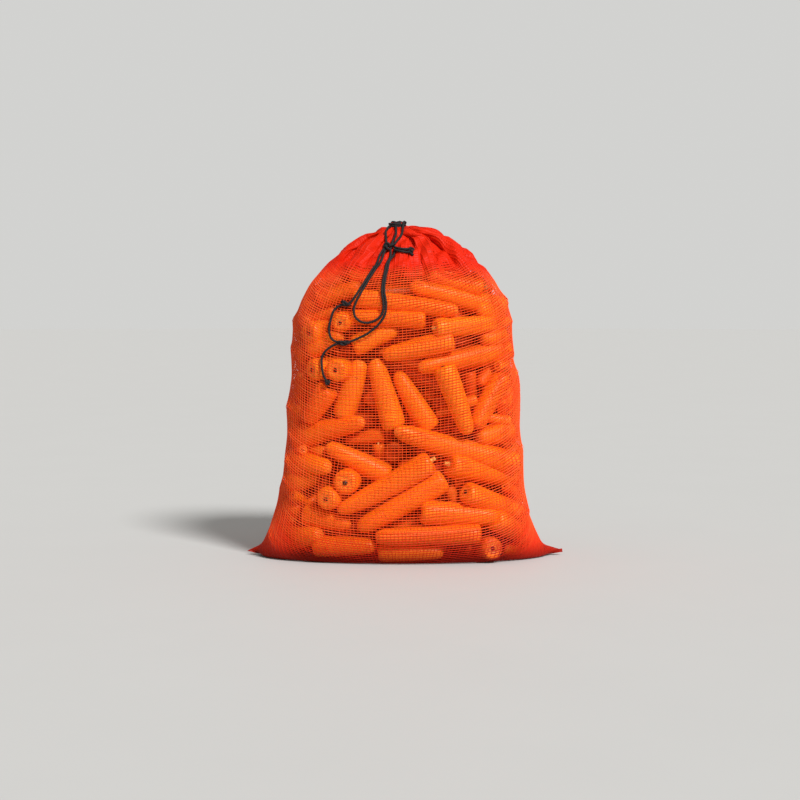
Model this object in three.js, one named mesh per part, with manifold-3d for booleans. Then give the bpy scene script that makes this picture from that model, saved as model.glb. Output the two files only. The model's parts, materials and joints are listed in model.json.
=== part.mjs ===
// A sack of carrots: a net sack stuffed with carrots that stand out under the net,
// with its mouth drawn shut by a cord whose loops hang on the front.
// Millimetres, +X to the right, +Y to the back, +Z up; the floor is z = 0.
import * as THREE from "three";
import { mergeVertices } from "three/addons/utils/BufferGeometryUtils.js";
import Module from "manifold-3d";

const wasm = await Module();
wasm.setup();

// Sack form
const SEAM_WIDTH = 394;
const BODY_HALF_WIDTH = 150;
const BODY_TAPER = 0.04;
const FOOT_FLARE = 34;
const FOOT_FLARE_HEIGHT = 60;
const BODY_HALF_DEPTH = 98;
const FOOT_TUCK = 0.2;
const FOOT_TUCK_HEIGHT = 14;
const SHOULDER_HEIGHT = 285;
const DOME_HEIGHT = 131;
const DOME_CURVE = 1.6;
const DOME_FULLNESS = 0.64;
const SECTION_POWER = 3;
const FOOT_POINTING = 1.2;
const FOOT_POINTING_HEIGHT = 40;
const BODY_SHIFT = -4;
const TOP_SHIFT = 0;
const SACK_SIDES = 44;
const ROW_HEIGHT = 19;

// Gathered mouth
const NECK_X = -10;
const NECK_Y = -14;
const NECK_RADIUS = 6.5;
const NECK_START = 396;
const CORD_HEIGHT = 411;
const FRILL_RADIUS = 11.5;
const FRILL_TOP = 419;
const FRILL_FLUTES = 7;
const DOME_ROWS = [342, 358, 374, 388, 398, 405];
const RIM_RADIUS = 16;
const RIM_HEIGHT = 407;
const RIM_TILT = 4;
const RIM_PUFF = 1.8;
const CRATER_RADIUS = 10;
const CRATER_HEIGHT = 403;
const PLEATS = 11;
const PLEAT_DEPTH = 0.12;

// Corner ears of the bottom seam
const EAR_ROOT = 128;
const EAR_ROOT_HEIGHT = 34;
const EAR_ROOT_DEPTH = 44;
const EAR_TIP_HEIGHT = 5;
const EAR_TIP_DEPTH = 7;
const EAR_SIDES = 12;
const EAR_RINGS = 5;

// Carrots
const CARROT_SIDES = 7;
const FRONT_INSET = 34;
const BACK_INSET = 28;
const SIDE_INSET = 7;
const FRONT_SINK = 20;
const BACK_SINK = 13;
const SIDE_SINK = 2.5;
const NET_SMOOTHING = 3;
const CARROT_EASE = 0.45;
const FRONT_GROWTH = 1.05;
const FRONT_REACH = 0.98;
const CARROTS_UP_TO = 305;
const BACK_CARROTS_UP_TO = 255;
const NET_ALONE_FROM = 345;
const CARROT_PROFILE = [
  [0, 0],
  [0.78, 0.01],
  [1, 0.13],
  [0.88, 0.6],
  [0.66, 0.92],
  [0, 1],
];

// Carrots on the front: crown x z, tip x z, crown diameter, depth of crown and of tip under the net.
const FRONT_CARROTS = [
  [89, 334, 23, 352, 22, 4, 8],
  [113, 310, -4, 338, 27, 0, 2],
  [-64, 323, 63, 307, 23, 2, 0],
  [24, 296, -67, 300, 22, 1, 5],
  [27, 287, 121, 294, 23, 0, 3],
  [127, 303, 82, 309, 26, 6, 12],
  [127, 277, 84, 272, 24, 7, 20],
  [-63, 264, -9, 285, 25, 3, 8],
  [57, 272, -28, 253, 26, 0, 2],
  [123, 259, 7, 238, 28, 0, 1],
  [-103, 321, -50, 336, 23, 3, 8],
  [-79, 293, -66, 297, 24, 3, 90],
  [-118, 280, -101, 284, 27, 1, 90],
  [-112, 258, -72, 279, 23, 6, 10],
  [45, 241, 76, 158, 27, 0, 0],
  [115, 227, 80, 166, 26, 4, 10],
  [134, 199, 70, 204, 28, 2, 45],
  [132, 161, 80, 153, 26, 3, 16],
  [-114, 236, -96, 240, 26, 0, 100],
  [-85, 236, -76, 238, 27, 0, 100],
  [-92, 215, -120, 172, 28, 1, 2],
  [-75, 178, -53, 247, 28, 9, 2],
  [-13, 165, -37, 249, 28, 5, 1],
  [30, 164, -12, 234, 27, 9, 12],
  [-131, 151, -44, 174, 29, 0, 1],
  [-18, 106, -94, 144, 27, 14, 2],
  [140, 118, -22, 164, 29, 0, 2],
  [31, 127, -82, 65, 28, 0, 1],
  [47, 104, -58, 43, 29, 0, 0],
  [45, 122, 134, 99, 32, 0, 1],
  [66, 89, 147, 58, 27, 2, 1],
  [14, 64, 111, 56, 28, 5, 4],
  [104, 55, 158, 23, 28, 0, 2],
  [90, 37, -38, 34, 24, 3, 3],
  [106, 19, 98, 18, 27, 0, 80],
  [-73, 101, -64, 106, 30, 0, 95],
  [-97, 80, -86, 86, 28, 0, 95],
  [-141, 122, -86, 117, 26, 2, 8],
  [-138, 95, -98, 104, 25, 3, 22],
  [-123, 58, -64, 47, 26, 1, 5],
  [-158, 25, -98, 36, 30, 0, 4],
  [-110, 20, -34, 22, 25, 3, 6],
  [-34, 14, 46, 14, 24, 2, 2],
  [-64, 350, -18, 360, 24, 12, 14],
  [-92, 332, -70, 356, 24, 6, 10],
  [52, 364, -2, 369, 24, 12, 14],
];

// Carrots round the sides and the back: drawn at random and kept where they find room
const DRAWS = 6000;
const DRAW_ANGLE = [-40, 220];
const DRAW_HEIGHT = [14, 322];
const DRAW_DIAMETER = [25, 31];
const DRAW_TILT = [-42, 42];
const SIDE_TILT = 38;
const END_SINK = 0.9;
const END_OUT = 4;
const SIDE_OUT = 9;
const LAYERS = [
  { depth: 2, room: 0.8, lengths: [155, 84] },
  { depth: 16, room: 0.7, lengths: [155, 84] },
  { depth: 3, room: 0.74, lengths: [105, 56] },
];

// Drawstring
const CORD_DIAMETER = 3;
const CORD_SIDES = 8;
const CORD_STEP = 9;
const CORD_CLEARANCE = 0.6;
const KNOTS = [
  { x: -20, z: 380, radii: [8, 5, 6] },
  { x: -74, z: 269, radii: [7.5, 3.2, 3.2] },
];
const KNOT_REACH = 14;
const KNOT_LIFT = 4;
// Points as x and z on the front of the sack; the form gives their depth.
const SHORT_LOOP = [
  [-18.5, 379], [-23.5, 360], [-27, 343], [-28.5, 330], [-27, 319], [-26.5, 310], [-29, 302], [-36, 296],
  [-45, 293], [-53, 294], [-60, 299], [-62, 307], [-59, 318], [-48, 337], [-36, 356], [-22.5, 379],
];
const LONG_LOOP = [
  [-25, 381], [-38, 358], [-50, 339], [-62, 321], [-67, 316], [-73, 314], [-80, 312], [-85, 307],
  [-88, 299], [-91, 289], [-91, 280], [-88, 273], [-82, 270], [-74, 269], [-65, 271], [-56, 275],
  [-46, 280], [-37, 287], [-30, 294], [-25, 302], [-23.5, 311], [-24, 320], [-26, 331], [-24.5, 344],
  [-21, 361], [-15.5, 380],
];
const TAIL = [
  [-78, 268], [-84, 267], [-91, 263], [-97, 257], [-100, 250], [-100, 241], [-98, 232], [-95, 224],
  [-89, 218],
];
const STUBS = [
  [[-16, 379], [-7, 378], [2, 376], [9, 373]],
  [[-16, 382], [-8, 384], [1, 382]],
];
const NECK_STRANDS = {
  left: [[-24, 383], [-25, 391], [-24, 399]],
  right: [[-5, 399], [-7, 391], [-14, 384]],
};

function seededRandom(seed) {
  let state = seed;
  return () => {
    state = (state * 16807) % 2147483647;
    return state / 2147483647;
  };
}

const between = ([low, high], share) => low + (high - low) * share;

function smoothStep(from, to, value) {
  const t = Math.min(Math.max((value - from) / (to - from), 0), 1);
  return t * t * (3 - 2 * t);
}

// Share of the shoulder's width that is left at a height in the dome.
function domeShare(z) {
  const t = Math.min(Math.max((z - SHOULDER_HEIGHT) / DOME_HEIGHT, 0), 1);
  return (1 - t ** DOME_CURVE) ** DOME_FULLNESS;
}

function halfWidth(z) {
  const low = Math.min(z, SHOULDER_HEIGHT);
  const flare = FOOT_FLARE * Math.exp(-low / FOOT_FLARE_HEIGHT);
  return (BODY_HALF_WIDTH - BODY_TAPER * low + flare) * domeShare(z);
}

function halfDepth(z) {
  const tuck = FOOT_TUCK * Math.exp(-z / FOOT_TUCK_HEIGHT);
  return BODY_HALF_DEPTH * (1 - tuck) * domeShare(z);
}

const shiftAt = (z) => between([BODY_SHIFT, TOP_SHIFT], smoothStep(300, 400, z));

// The section's power: round in the body, drawn to points at the corners near the floor.
const powerAt = (z) => SECTION_POWER - FOOT_POINTING * Math.exp(-z / FOOT_POINTING_HEIGHT);

// The section's radius at an angle from +X, set in from the surface.
function sackRadius(angle, z, inset) {
  const n = powerAt(z);
  const a = Math.max(halfWidth(z) - inset, 1);
  const b = Math.max(halfDepth(z) - inset, 1);
  return ((Math.abs(Math.cos(angle)) / a) ** n + (Math.abs(Math.sin(angle)) / b) ** n) ** (-1 / n);
}

function sackPoint(angle, z, inset) {
  const r = sackRadius(angle, z, inset);
  return new THREE.Vector3(shiftAt(z) + r * Math.cos(angle), r * Math.sin(angle), z);
}

// The front of the form at x and z, set in from the surface and kept inside its width.
function frontPoint(x, z, inset) {
  const n = powerAt(z);
  const a = Math.max(halfWidth(z) - inset, 1);
  const b = Math.max(halfDepth(z) - inset, 1);
  const share = Math.min(Math.max((x - shiftAt(z)) / a, -FRONT_REACH), FRONT_REACH);
  const y = -b * (1 - Math.abs(share) ** n) ** (1 / n);
  return new THREE.Vector3(shiftAt(z) + share * a, y, z);
}

function toSolid(geometry) {
  const bare = geometry.clone();
  bare.deleteAttribute("normal");
  bare.deleteAttribute("uv");
  const merged = mergeVertices(bare, 1e-4);
  const mesh = new wasm.Mesh({
    numProp: 3,
    vertProperties: merged.attributes.position.array,
    triVerts: new Uint32Array(merged.index.array),
  });
  return new wasm.Manifold(mesh);
}

function toMesh(solid, name, material) {
  const made = solid.getMesh();
  const geometry = new THREE.BufferGeometry();
  geometry.setAttribute("position", new THREE.BufferAttribute(made.vertProperties, 3));
  geometry.setIndex(new THREE.BufferAttribute(made.triVerts, 1));
  geometry.computeVertexNormals();
  const mesh = new THREE.Mesh(geometry, material);
  mesh.name = name;
  return mesh;
}

// Moves each vertex of a geometry by a rule that gives its new place.
function reshape(geometry, rule) {
  const position = geometry.getAttribute("position");
  const v = new THREE.Vector3();
  for (let i = 0; i < position.count; i++) {
    v.fromBufferAttribute(position, i);
    const to = rule(v);
    position.setXYZ(i, to.x, to.y, to.z);
  }
  return geometry;
}

// A lathe about +Z of radius and height pairs that start and end on the axis, lowest first.
function latheUp(profile, sides) {
  const points = profile.map(([r, z]) => new THREE.Vector2(r, z));
  return new THREE.LatheGeometry(points, sides).rotateX(Math.PI / 2);
}

// Balls along a carrot's axis that fill its round form.
function carrotBalls({ crown, tip, diameter }) {
  const balls = [];
  for (let i = 0; i <= 12; i++) {
    const t = between([0.08, 0.94], i / 12);
    const next = CARROT_PROFILE.findIndex(([, at]) => at >= t);
    const [r0, t0] = CARROT_PROFILE[next - 1];
    const [r1, t1] = CARROT_PROFILE[next];
    const r = between([r0, r1], (t - t0) / (t1 - t0));
    balls.push({ centre: crown.clone().lerp(tip, t), radius: (r * diameter) / 2 });
  }
  return balls;
}

// How far the balls reach from the sack's axis in one direction at one height.
function reachOut(angle, z) {
  const c = Math.cos(angle);
  const s = Math.sin(angle);
  let far = 0;
  for (const { centre, radius } of balls) {
    const rise = centre.z - z;
    const x = centre.x - shiftAt(z);
    const across = x * s - centre.y * c;
    const spare = radius * radius - rise * rise - across * across;
    if (spare > 0) {
      far = Math.max(far, x * c + centre.y * s + Math.sqrt(spare));
    }
  }
  return far;
}

// One at the left and right sides, where the net is drawn tight to the corners, and none at front and back.
const sideShare = (angle) => smoothStep(0.75, 0.96, Math.abs(Math.cos(angle)));

// One on the front, where the gaps between the carrots are deep, and none at the back.
const frontShare = (angle) => smoothStep(0.1, 0.6, -Math.sin(angle));

// A value round the sack from its values on the front, at the back and on the sides.
function round(angle, front, back, side) {
  return between([between([back, front], frontShare(angle)), side], sideShare(angle));
}

// Share of its depth that the core keeps behind the carrots: none where the net stands alone.
function carrotShare(angle, z) {
  const upTo = between([BACK_CARROTS_UP_TO, CARROTS_UP_TO], frontShare(angle));
  return 1 - smoothStep(upTo, NET_ALONE_FROM, z);
}

// Radii of the net over the carrots on a grid of heights and angles: it bridges the hollows.
function netRadii(heights, angles) {
  const bare = heights.map((z) =>
    angles.map((angle) => {
      const inset = carrotShare(angle, z) * round(angle, FRONT_INSET, BACK_INSET, SIDE_INSET);
      return Math.max(sackRadius(angle, z, inset), reachOut(angle, z));
    }),
  );
  const last = heights.length - 1;
  const turn = angles.length;
  let net = bare;
  for (let pass = 0; pass < NET_SMOOTHING; pass++) {
    net = net.map((row, j) =>
      row.map((r, i) => {
        if (j === 0 || heights[j] > NET_ALONE_FROM) {
          return r;
        }
        const beside = row[(i + 1) % turn] + row[(i + turn - 1) % turn];
        const mean = (beside + net[j - 1][i] + net[Math.min(j + 1, last)][i]) / 4;
        return Math.max(bare[j][i], 0.5 * r + 0.5 * mean);
      }),
    );
  }
  return net;
}

// The core: the net's form a little inside the carrots' backs, pleated below the mouth.
function makeCore() {
  const low = [0, 4];
  for (let z = ROW_HEIGHT; z < DOME_ROWS[0] - 4; z += ROW_HEIGHT) {
    low.push(z);
  }
  const heights = [...low, ...DOME_ROWS];
  const angles = Array.from({ length: SACK_SIDES }, (_, i) => (2 * Math.PI * i) / SACK_SIDES);
  const net = netRadii(heights, angles);
  const rim = heights.length;
  const profile = [[0, 0], ...heights.map((_, j) => [1, j]), [1, rim], [1, rim + 1], [0, rim + 1]];
  const placed = (v) => {
    const j = Math.round(v.z);
    const onAxis = Math.hypot(v.x, v.y) < 0.5;
    if (onAxis) {
      return j === 0 ? new THREE.Vector3(0, 0, 0) : new THREE.Vector3(NECK_X, NECK_Y, CRATER_HEIGHT);
    }
    const i = (Math.round((Math.atan2(v.y, v.x) * SACK_SIDES) / (2 * Math.PI)) + SACK_SIDES) % SACK_SIDES;
    const wave = 0.5 - 0.5 * Math.cos(PLEATS * angles[i] + 0.9 * Math.sin(3 * angles[i]));
    const c = Math.cos(angles[i]);
    const s = Math.sin(angles[i]);
    if (j < rim) {
      const z = heights[j];
      const fade = carrotShare(angles[i], z) * Math.min(z / ROW_HEIGHT, 1);
      const sink = fade * round(angles[i], FRONT_SINK, BACK_SINK, SIDE_SINK);
      const pleat = 1 - PLEAT_DEPTH * smoothStep(CARROTS_UP_TO, NECK_START, z) * wave;
      const r = (net[j][i] - sink) * pleat;
      return new THREE.Vector3(shiftAt(z) + r * c, r * s, z);
    }
    const puff = 1 + RIM_PUFF * (0.5 + 0.5 * c) ** 4;
    const r = (j === rim ? RIM_RADIUS * puff : CRATER_RADIUS) * (1 - PLEAT_DEPTH * wave);
    const z = j === rim ? RIM_HEIGHT + RIM_TILT * (c + s) : CRATER_HEIGHT;
    return new THREE.Vector3(NECK_X + r * c, NECK_Y + r * s, z);
  };
  return toSolid(reshape(latheUp(profile, SACK_SIDES), placed));
}

// The gathered mouth: a narrow neck with a fluted frill above the cord.
function makeNeck() {
  const profile = [
    [0, NECK_START],
    [NECK_RADIUS, NECK_START],
    [NECK_RADIUS, CORD_HEIGHT + 2],
    [FRILL_RADIUS * 0.85, FRILL_TOP - 3],
    [FRILL_RADIUS, FRILL_TOP],
    [FRILL_RADIUS * 0.4, FRILL_TOP - 2],
    [0, FRILL_TOP - 2],
  ];
  const fluted = (v) => {
    const angle = Math.atan2(v.y, v.x);
    const fade = smoothStep(CORD_HEIGHT + 2, FRILL_TOP, v.z);
    const keep = 1 + 0.16 * fade * Math.cos(FRILL_FLUTES * angle);
    return new THREE.Vector3(v.x * keep, v.y * keep, v.z);
  };
  return toSolid(reshape(latheUp(profile, 28), fluted).translate(NECK_X, NECK_Y, 0));
}

// A corner ear: from a broad root inside the sack to a flat tip on the floor.
function makeEar(side) {
  const length = SEAM_WIDTH / 2 - EAR_ROOT;
  const ear = new THREE.CylinderGeometry(1, 1, 1, EAR_SIDES, EAR_RINGS);
  const swept = (v) => {
    const t = v.y + 0.5;
    const ease = t ** 0.8;
    const high = EAR_ROOT_HEIGHT + (EAR_TIP_HEIGHT - EAR_ROOT_HEIGHT) * ease;
    const deep = EAR_ROOT_DEPTH + (EAR_TIP_DEPTH - EAR_ROOT_DEPTH) * ease;
    return new THREE.Vector3(side * (EAR_ROOT + length * t), -side * v.z * deep, (1 - v.x) * high * 0.5);
  };
  return toSolid(reshape(ear, swept));
}

// A carrot between the middle of its crown and its tip, with the crown's diameter.
function makeCarrot({ crown, tip, diameter }) {
  const axis = tip.clone().sub(crown);
  const length = axis.length();
  const profile = CARROT_PROFILE.map(([r, t]) => [(r * diameter) / 2, t * length]);
  const turn = new THREE.Quaternion().setFromUnitVectors(new THREE.Vector3(0, 0, 1), axis.normalize());
  const geometry = latheUp(profile, CARROT_SIDES).applyQuaternion(turn);
  return toSolid(geometry.translate(crown.x, crown.y, crown.z));
}

// How far a point lies outside the sack's form set in by an amount.
function outside(p, inset) {
  const x = p.x - shiftAt(p.z);
  return Math.hypot(x, p.y) - sackRadius(Math.atan2(p.y, x), p.z, inset);
}

// A straight carrot sinks under a round form between its ends, so it is moved part of the way out.
function easedOut({ crown, tip, diameter }) {
  const middle = crown.clone().lerp(tip, 0.5);
  const angle = Math.atan2(middle.y, middle.x - shiftAt(middle.z));
  const spare = Math.max(-outside(middle, diameter / 2), 0);
  const out = new THREE.Vector3(Math.cos(angle), Math.sin(angle), 0).multiplyScalar(CARROT_EASE * spare);
  return { crown: crown.add(out), tip: tip.add(out), diameter };
}

function frontCarrot([crownX, crownZ, tipX, tipZ, drawn, crownDepth, tipDepth]) {
  const diameter = FRONT_GROWTH * drawn;
  const r = diameter / 2;
  const facing = tipDepth > 60;
  const crown = frontPoint(crownX, crownZ, (facing ? 2 : r) + crownDepth);
  const tip = frontPoint(tipX, tipZ, (facing ? 2 : 0.8 * r) + tipDepth);
  return facing ? { crown, tip, diameter } : easedOut({ crown, tip, diameter });
}

// A carrot laid along the form at an angle and height, sunk until its ends are hardly outside.
function laidCarrot(angle, z, tilt, length, diameter, depth) {
  const inset = diameter / 2 + depth;
  const middle = sackPoint(angle, z, inset);
  const level = sackPoint(angle + 0.02, z, inset).sub(sackPoint(angle - 0.02, z, inset)).normalize();
  const half = level.multiplyScalar(Math.cos(tilt)).add(new THREE.Vector3(0, 0, Math.sin(tilt)));
  half.multiplyScalar(length / 2);
  const crown = middle.clone().sub(half);
  const tip = middle.clone().add(half);
  const excess = Math.max(outside(crown, inset), outside(tip, inset), 0);
  const inward = new THREE.Vector3(-Math.cos(angle), -Math.sin(angle), 0).multiplyScalar(END_SINK * excess);
  return { crown: crown.add(inward), tip: tip.add(inward), diameter };
}

// The least distance between the axes of two carrots.
function axisDistance(one, other) {
  const steps = 8;
  const line = new THREE.Line3(other.crown, other.tip);
  const p = new THREE.Vector3();
  const near = new THREE.Vector3();
  let least = Infinity;
  for (let i = 0; i <= steps; i++) {
    p.lerpVectors(one.crown, one.tip, i / steps);
    least = Math.min(least, line.closestPointToPoint(p, true, near).distanceTo(p));
  }
  return least;
}

// Carrots drawn one by one round the sides and back: those that find room between the others stay.
function drawnCarrots(placed) {
  const random = seededRandom(41);
  const all = [...placed];
  for (const { depth, room, lengths } of LAYERS) {
    for (let i = 0; i < DRAWS; i++) {
      const degrees = between(DRAW_ANGLE, random());
      const z = between(DRAW_HEIGHT, random());
      const side = Math.abs(Math.cos(THREE.MathUtils.degToRad(degrees))) ** 4;
      const lean = between(DRAW_TILT, random());
      const tilt = lean + side * SIDE_TILT * Math.sign(lean);
      const length = between(lengths, i / DRAWS);
      const diameter = between(DRAW_DIAMETER, random());
      const flip = random() < 0.5 ? 0 : 180;
      const rad = THREE.MathUtils.degToRad;
      const under = depth - SIDE_OUT * side;
      const carrot = laidCarrot(rad(degrees), z, rad(tilt + flip), length, diameter, under);
      const low = Math.min(carrot.crown.z, carrot.tip.z);
      const high = Math.max(carrot.crown.z, carrot.tip.z);
      const inset = diameter / 2 + under;
      const out = Math.max(outside(carrot.crown, inset), outside(carrot.tip, inset));
      const fits = low > diameter / 2 + 0.5 && high < DRAW_HEIGHT[1] + 14 && out < END_OUT;
      const clear = (other) => axisDistance(carrot, other) > (room * (diameter + other.diameter)) / 2;
      if (fits && all.every(clear)) {
        all.push(carrot);
      }
    }
  }
  return all.slice(placed.length);
}

// The outer shell of the largest body: hollows sealed by the union are filled, loose scraps dropped.
function wholeBody(solid) {
  const bodies = solid.decompose();
  return bodies.reduce((best, body) => (body.volume() > best.volume() ? body : best));
}

const frontCarrots = FRONT_CARROTS.map(frontCarrot);
const carrots = [...frontCarrots, ...drawnCarrots(frontCarrots)];
const balls = carrots.flatMap(carrotBalls);

function makeSack() {
  const pieces = [makeCore(), makeNeck(), makeEar(-1), makeEar(1)];
  return wholeBody(wasm.Manifold.union([...pieces, ...carrots.map(makeCarrot)]));
}

// A point over the front of the sack at x and z, moved off the form along its normal.
function overFront([x, z], off) {
  const p = frontPoint(x, z, 0);
  const along = frontPoint(x + 1, z, 0).sub(p);
  const up = frontPoint(x, z + 1, 0).sub(p);
  return p.addScaledVector(along.cross(up).normalize(), off);
}

// The cord's middle line lies one radius clear of the net and the carrots, and rises into the knots.
function cordPoint([x, z]) {
  const clear = CORD_DIAMETER / 2 + CORD_CLEARANCE;
  const near = KNOTS.map((knot) => Math.max(0, 1 - Math.hypot(x - knot.x, z - knot.z) / KNOT_REACH));
  const point = overFront([x, z], clear + KNOT_LIFT * Math.max(...near));
  for (const { centre, radius } of balls) {
    const spare = (radius + clear) ** 2 - (centre.x - point.x) ** 2 - (centre.z - point.z) ** 2;
    if (spare > 0) {
      point.y = Math.min(point.y, centre.y - Math.sqrt(spare));
    }
  }
  return point;
}

function makeTube(points) {
  const curve = new THREE.CatmullRomCurve3(points, false, "centripetal");
  const r = CORD_DIAMETER / 2;
  const section = new THREE.Shape();
  for (let i = 0; i < CORD_SIDES; i++) {
    const a = (2 * Math.PI * (i + 0.5)) / CORD_SIDES;
    if (i === 0) {
      section.moveTo(r * Math.cos(a), r * Math.sin(a));
    } else {
      section.lineTo(r * Math.cos(a), r * Math.sin(a));
    }
  }
  const steps = Math.max(3, Math.round(curve.getLength() / CORD_STEP));
  const sweep = { steps, extrudePath: curve, bevelEnabled: false, curveSegments: 1 };
  return toSolid(new THREE.ExtrudeGeometry(section, sweep));
}

function makeKnot({ x, z, radii }) {
  const p = overFront([x, z], Math.max(radii[1], radii[2]) + CORD_CLEARANCE);
  return toSolid(new THREE.SphereGeometry(1, 10, 6).scale(...radii).translate(p.x, p.y, p.z));
}

// The turn round the neck: up from the knot, round the back of the neck and down to the knot.
function neckTurn() {
  const r = NECK_RADIUS + CORD_DIAMETER / 2 + 3 * CORD_CLEARANCE;
  const ring = [];
  for (let i = 0; i <= 8; i++) {
    const a = THREE.MathUtils.degToRad(215 - (i * 250) / 8);
    ring.push(new THREE.Vector3(NECK_X + r * Math.cos(a), NECK_Y + r * Math.sin(a), CORD_HEIGHT));
  }
  const rise = (x) => new THREE.Vector3(x, NECK_Y - r - 15, CORD_HEIGHT - 4);
  const up = [...NECK_STRANDS.left.map(cordPoint), rise(-22)];
  const down = [rise(-4), ...NECK_STRANDS.right.map(cordPoint)];
  return [...up, ...ring, ...down];
}

// A route on the front, smoothed and laid on the form at every step of the cord.
function frontRoute(route) {
  const flat = new THREE.SplineCurve(route.map(([x, z]) => new THREE.Vector2(x, z)));
  const steps = Math.max(3, Math.round(flat.getLength() / CORD_STEP));
  return flat.getSpacedPoints(steps).map((p) => cordPoint([p.x, p.y]));
}

function makeDrawstring() {
  const routes = [SHORT_LOOP, LONG_LOOP, TAIL, ...STUBS].map(frontRoute);
  const tubes = [neckTurn(), ...routes].map(makeTube);
  return wholeBody(wasm.Manifold.union([...tubes, ...KNOTS.map(makeKnot)]));
}

const netMaterial = new THREE.MeshStandardMaterial({ color: 0xe8481f, roughness: 0.6 });
const cordMaterial = new THREE.MeshStandardMaterial({ color: 0x16161a, roughness: 0.55 });

const sackOfCarrots = new THREE.Group();
sackOfCarrots.name = "sack_of_carrots";
sackOfCarrots.add(toMesh(makeSack(), "net_sack", netMaterial));
sackOfCarrots.add(toMesh(makeDrawstring(), "drawstring", cordMaterial));

export default sackOfCarrots;
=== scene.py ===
"""Looks of a sack of carrots: carrots, knitted net, drawstring and a plain studio stage.

Metres, +X to the right, +Y to the back, +Z up; the floor is z = 0.
"""
import json
import math
from collections import namedtuple
from functools import lru_cache

import bmesh
import bpy
import numpy as np
from bpy.props import FloatProperty, FloatVectorProperty, IntProperty, PointerProperty
from mathutils import Matrix, Vector


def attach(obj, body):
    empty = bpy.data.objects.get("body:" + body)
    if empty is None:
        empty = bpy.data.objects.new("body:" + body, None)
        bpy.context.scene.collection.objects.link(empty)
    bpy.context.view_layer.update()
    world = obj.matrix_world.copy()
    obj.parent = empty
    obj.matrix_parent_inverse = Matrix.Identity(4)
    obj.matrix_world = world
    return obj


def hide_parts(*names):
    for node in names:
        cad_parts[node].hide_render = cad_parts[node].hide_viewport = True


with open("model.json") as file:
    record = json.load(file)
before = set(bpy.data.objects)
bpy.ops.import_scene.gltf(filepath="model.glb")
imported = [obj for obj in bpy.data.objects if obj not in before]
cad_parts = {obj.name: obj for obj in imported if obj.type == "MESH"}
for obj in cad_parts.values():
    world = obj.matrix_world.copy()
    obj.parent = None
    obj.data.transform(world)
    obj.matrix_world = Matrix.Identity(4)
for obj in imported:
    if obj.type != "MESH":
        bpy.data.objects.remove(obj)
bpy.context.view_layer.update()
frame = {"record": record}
FINISH = {slot["slot"]: slot["base_color"] for slot in frame["record"]["materials"]}

bl_info = {
    "name": "Sack of carrots",
    "version": (1, 0, 0),
    "blender": (4, 5, 0),
    "location": "3D View > Sidebar > Sack",
    "description": "Builds a net sack of carrots with its drawstring",
    "category": "Object",
}

MM = 0.001
PREFIX = "sack_of_carrots_"

# Seeds of the random draws; a carrot adds its number to those of skin and taper.
SEEDS = {"round": 41, "fill": 7, "sights": 23, "bows": 19, "crumples": 3, "courses": 11, "wales": 12,
         "skin": 500, "taper": 900}

# Carrots on the front, in millimetres: crown x z, tip x z, crown diameter, depth of both under the net.
FRONT_CARROTS = [
    (89, 334, 23, 352, 22, 4, 8), (113, 310, -4, 338, 27, 0, 2), (-64, 323, 63, 307, 23, 2, 0),
    (24, 296, -67, 300, 22, 1, 5), (27, 287, 121, 294, 23, 0, 3), (127, 303, 82, 309, 26, 6, 12),
    (127, 277, 84, 272, 24, 7, 20), (-63, 264, -9, 285, 25, 3, 8), (57, 272, -28, 253, 26, 0, 2),
    (123, 259, 7, 238, 28, 0, 1), (-103, 321, -50, 336, 23, 3, 8), (-79, 293, -66, 297, 24, 3, 90),
    (-118, 280, -101, 284, 27, 1, 90), (-112, 258, -72, 279, 23, 6, 10), (45, 241, 76, 158, 27, 0, 0),
    (115, 227, 80, 166, 26, 4, 10), (134, 199, 70, 204, 28, 2, 45), (132, 161, 80, 153, 26, 3, 16),
    (-114, 236, -96, 240, 26, 0, 100), (-85, 236, -76, 238, 27, 0, 100), (-92, 215, -120, 172, 28, 1, 2),
    (-75, 178, -53, 247, 28, 9, 2), (-13, 165, -37, 249, 28, 5, 1), (30, 164, -12, 234, 27, 9, 12),
    (-131, 151, -44, 174, 29, 0, 1), (-18, 106, -94, 144, 27, 14, 2), (140, 118, -22, 164, 29, 0, 2),
    (31, 127, -82, 65, 28, 0, 1), (47, 104, -58, 43, 29, 0, 0), (45, 122, 134, 99, 32, 0, 1),
    (66, 89, 147, 58, 27, 2, 1), (14, 64, 111, 56, 28, 5, 4), (104, 55, 158, 23, 28, 0, 2),
    (90, 37, -38, 34, 24, 3, 3), (106, 19, 98, 18, 27, 0, 80), (-73, 101, -64, 106, 30, 0, 95),
    (-97, 80, -86, 86, 28, 0, 95), (-141, 122, -86, 117, 26, 2, 8), (-138, 95, -98, 104, 25, 3, 22),
    (-123, 58, -64, 47, 26, 1, 5), (-158, 25, -98, 36, 30, 0, 4), (-110, 20, -34, 22, 25, 3, 6),
    (-34, 14, 46, 14, 24, 2, 2), (-64, 350, -18, 360, 24, 12, 14), (-92, 332, -70, 356, 24, 6, 10),
    (42, 349, -6, 355, 24, 24, 26),
]
# Front carrots whose stem stub is still pale and fresh.
FRESH_STEMS = (4, 27, 29)
# How much thicker than listed the front carrots are made, and the depth past which a tip points into the sack.
FRONT_GROWTH = 1.05
FACING_DEPTH = 60 * MM

# Rounds that fill the heap: room between carrots, least gap, thinnest carrot as a share of the thin ones,
# fewest steps in its length and depth under the net.
FILL_ROUNDS = [
    (0.8, 7 * MM, 0.84, 12, 10 * MM),
    (0.66, 5 * MM, 0.76, 10, 9 * MM),
    (0.6, 4.8 * MM, 0.62, 7, 10 * MM),
]
# Hidden carrots: the step in which their length is counted, and how high they may lie.
FILL_STEP = 4.5 * MM
FILL_TOP = 0.36
# Where one looks from when the gaps are closed: distance, height on the front and height from other sides.
EYE_DISTANCE = 2.2
FRONT_EYE_HEIGHT = 0.33
EYE_HEIGHT = 0.6

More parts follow.
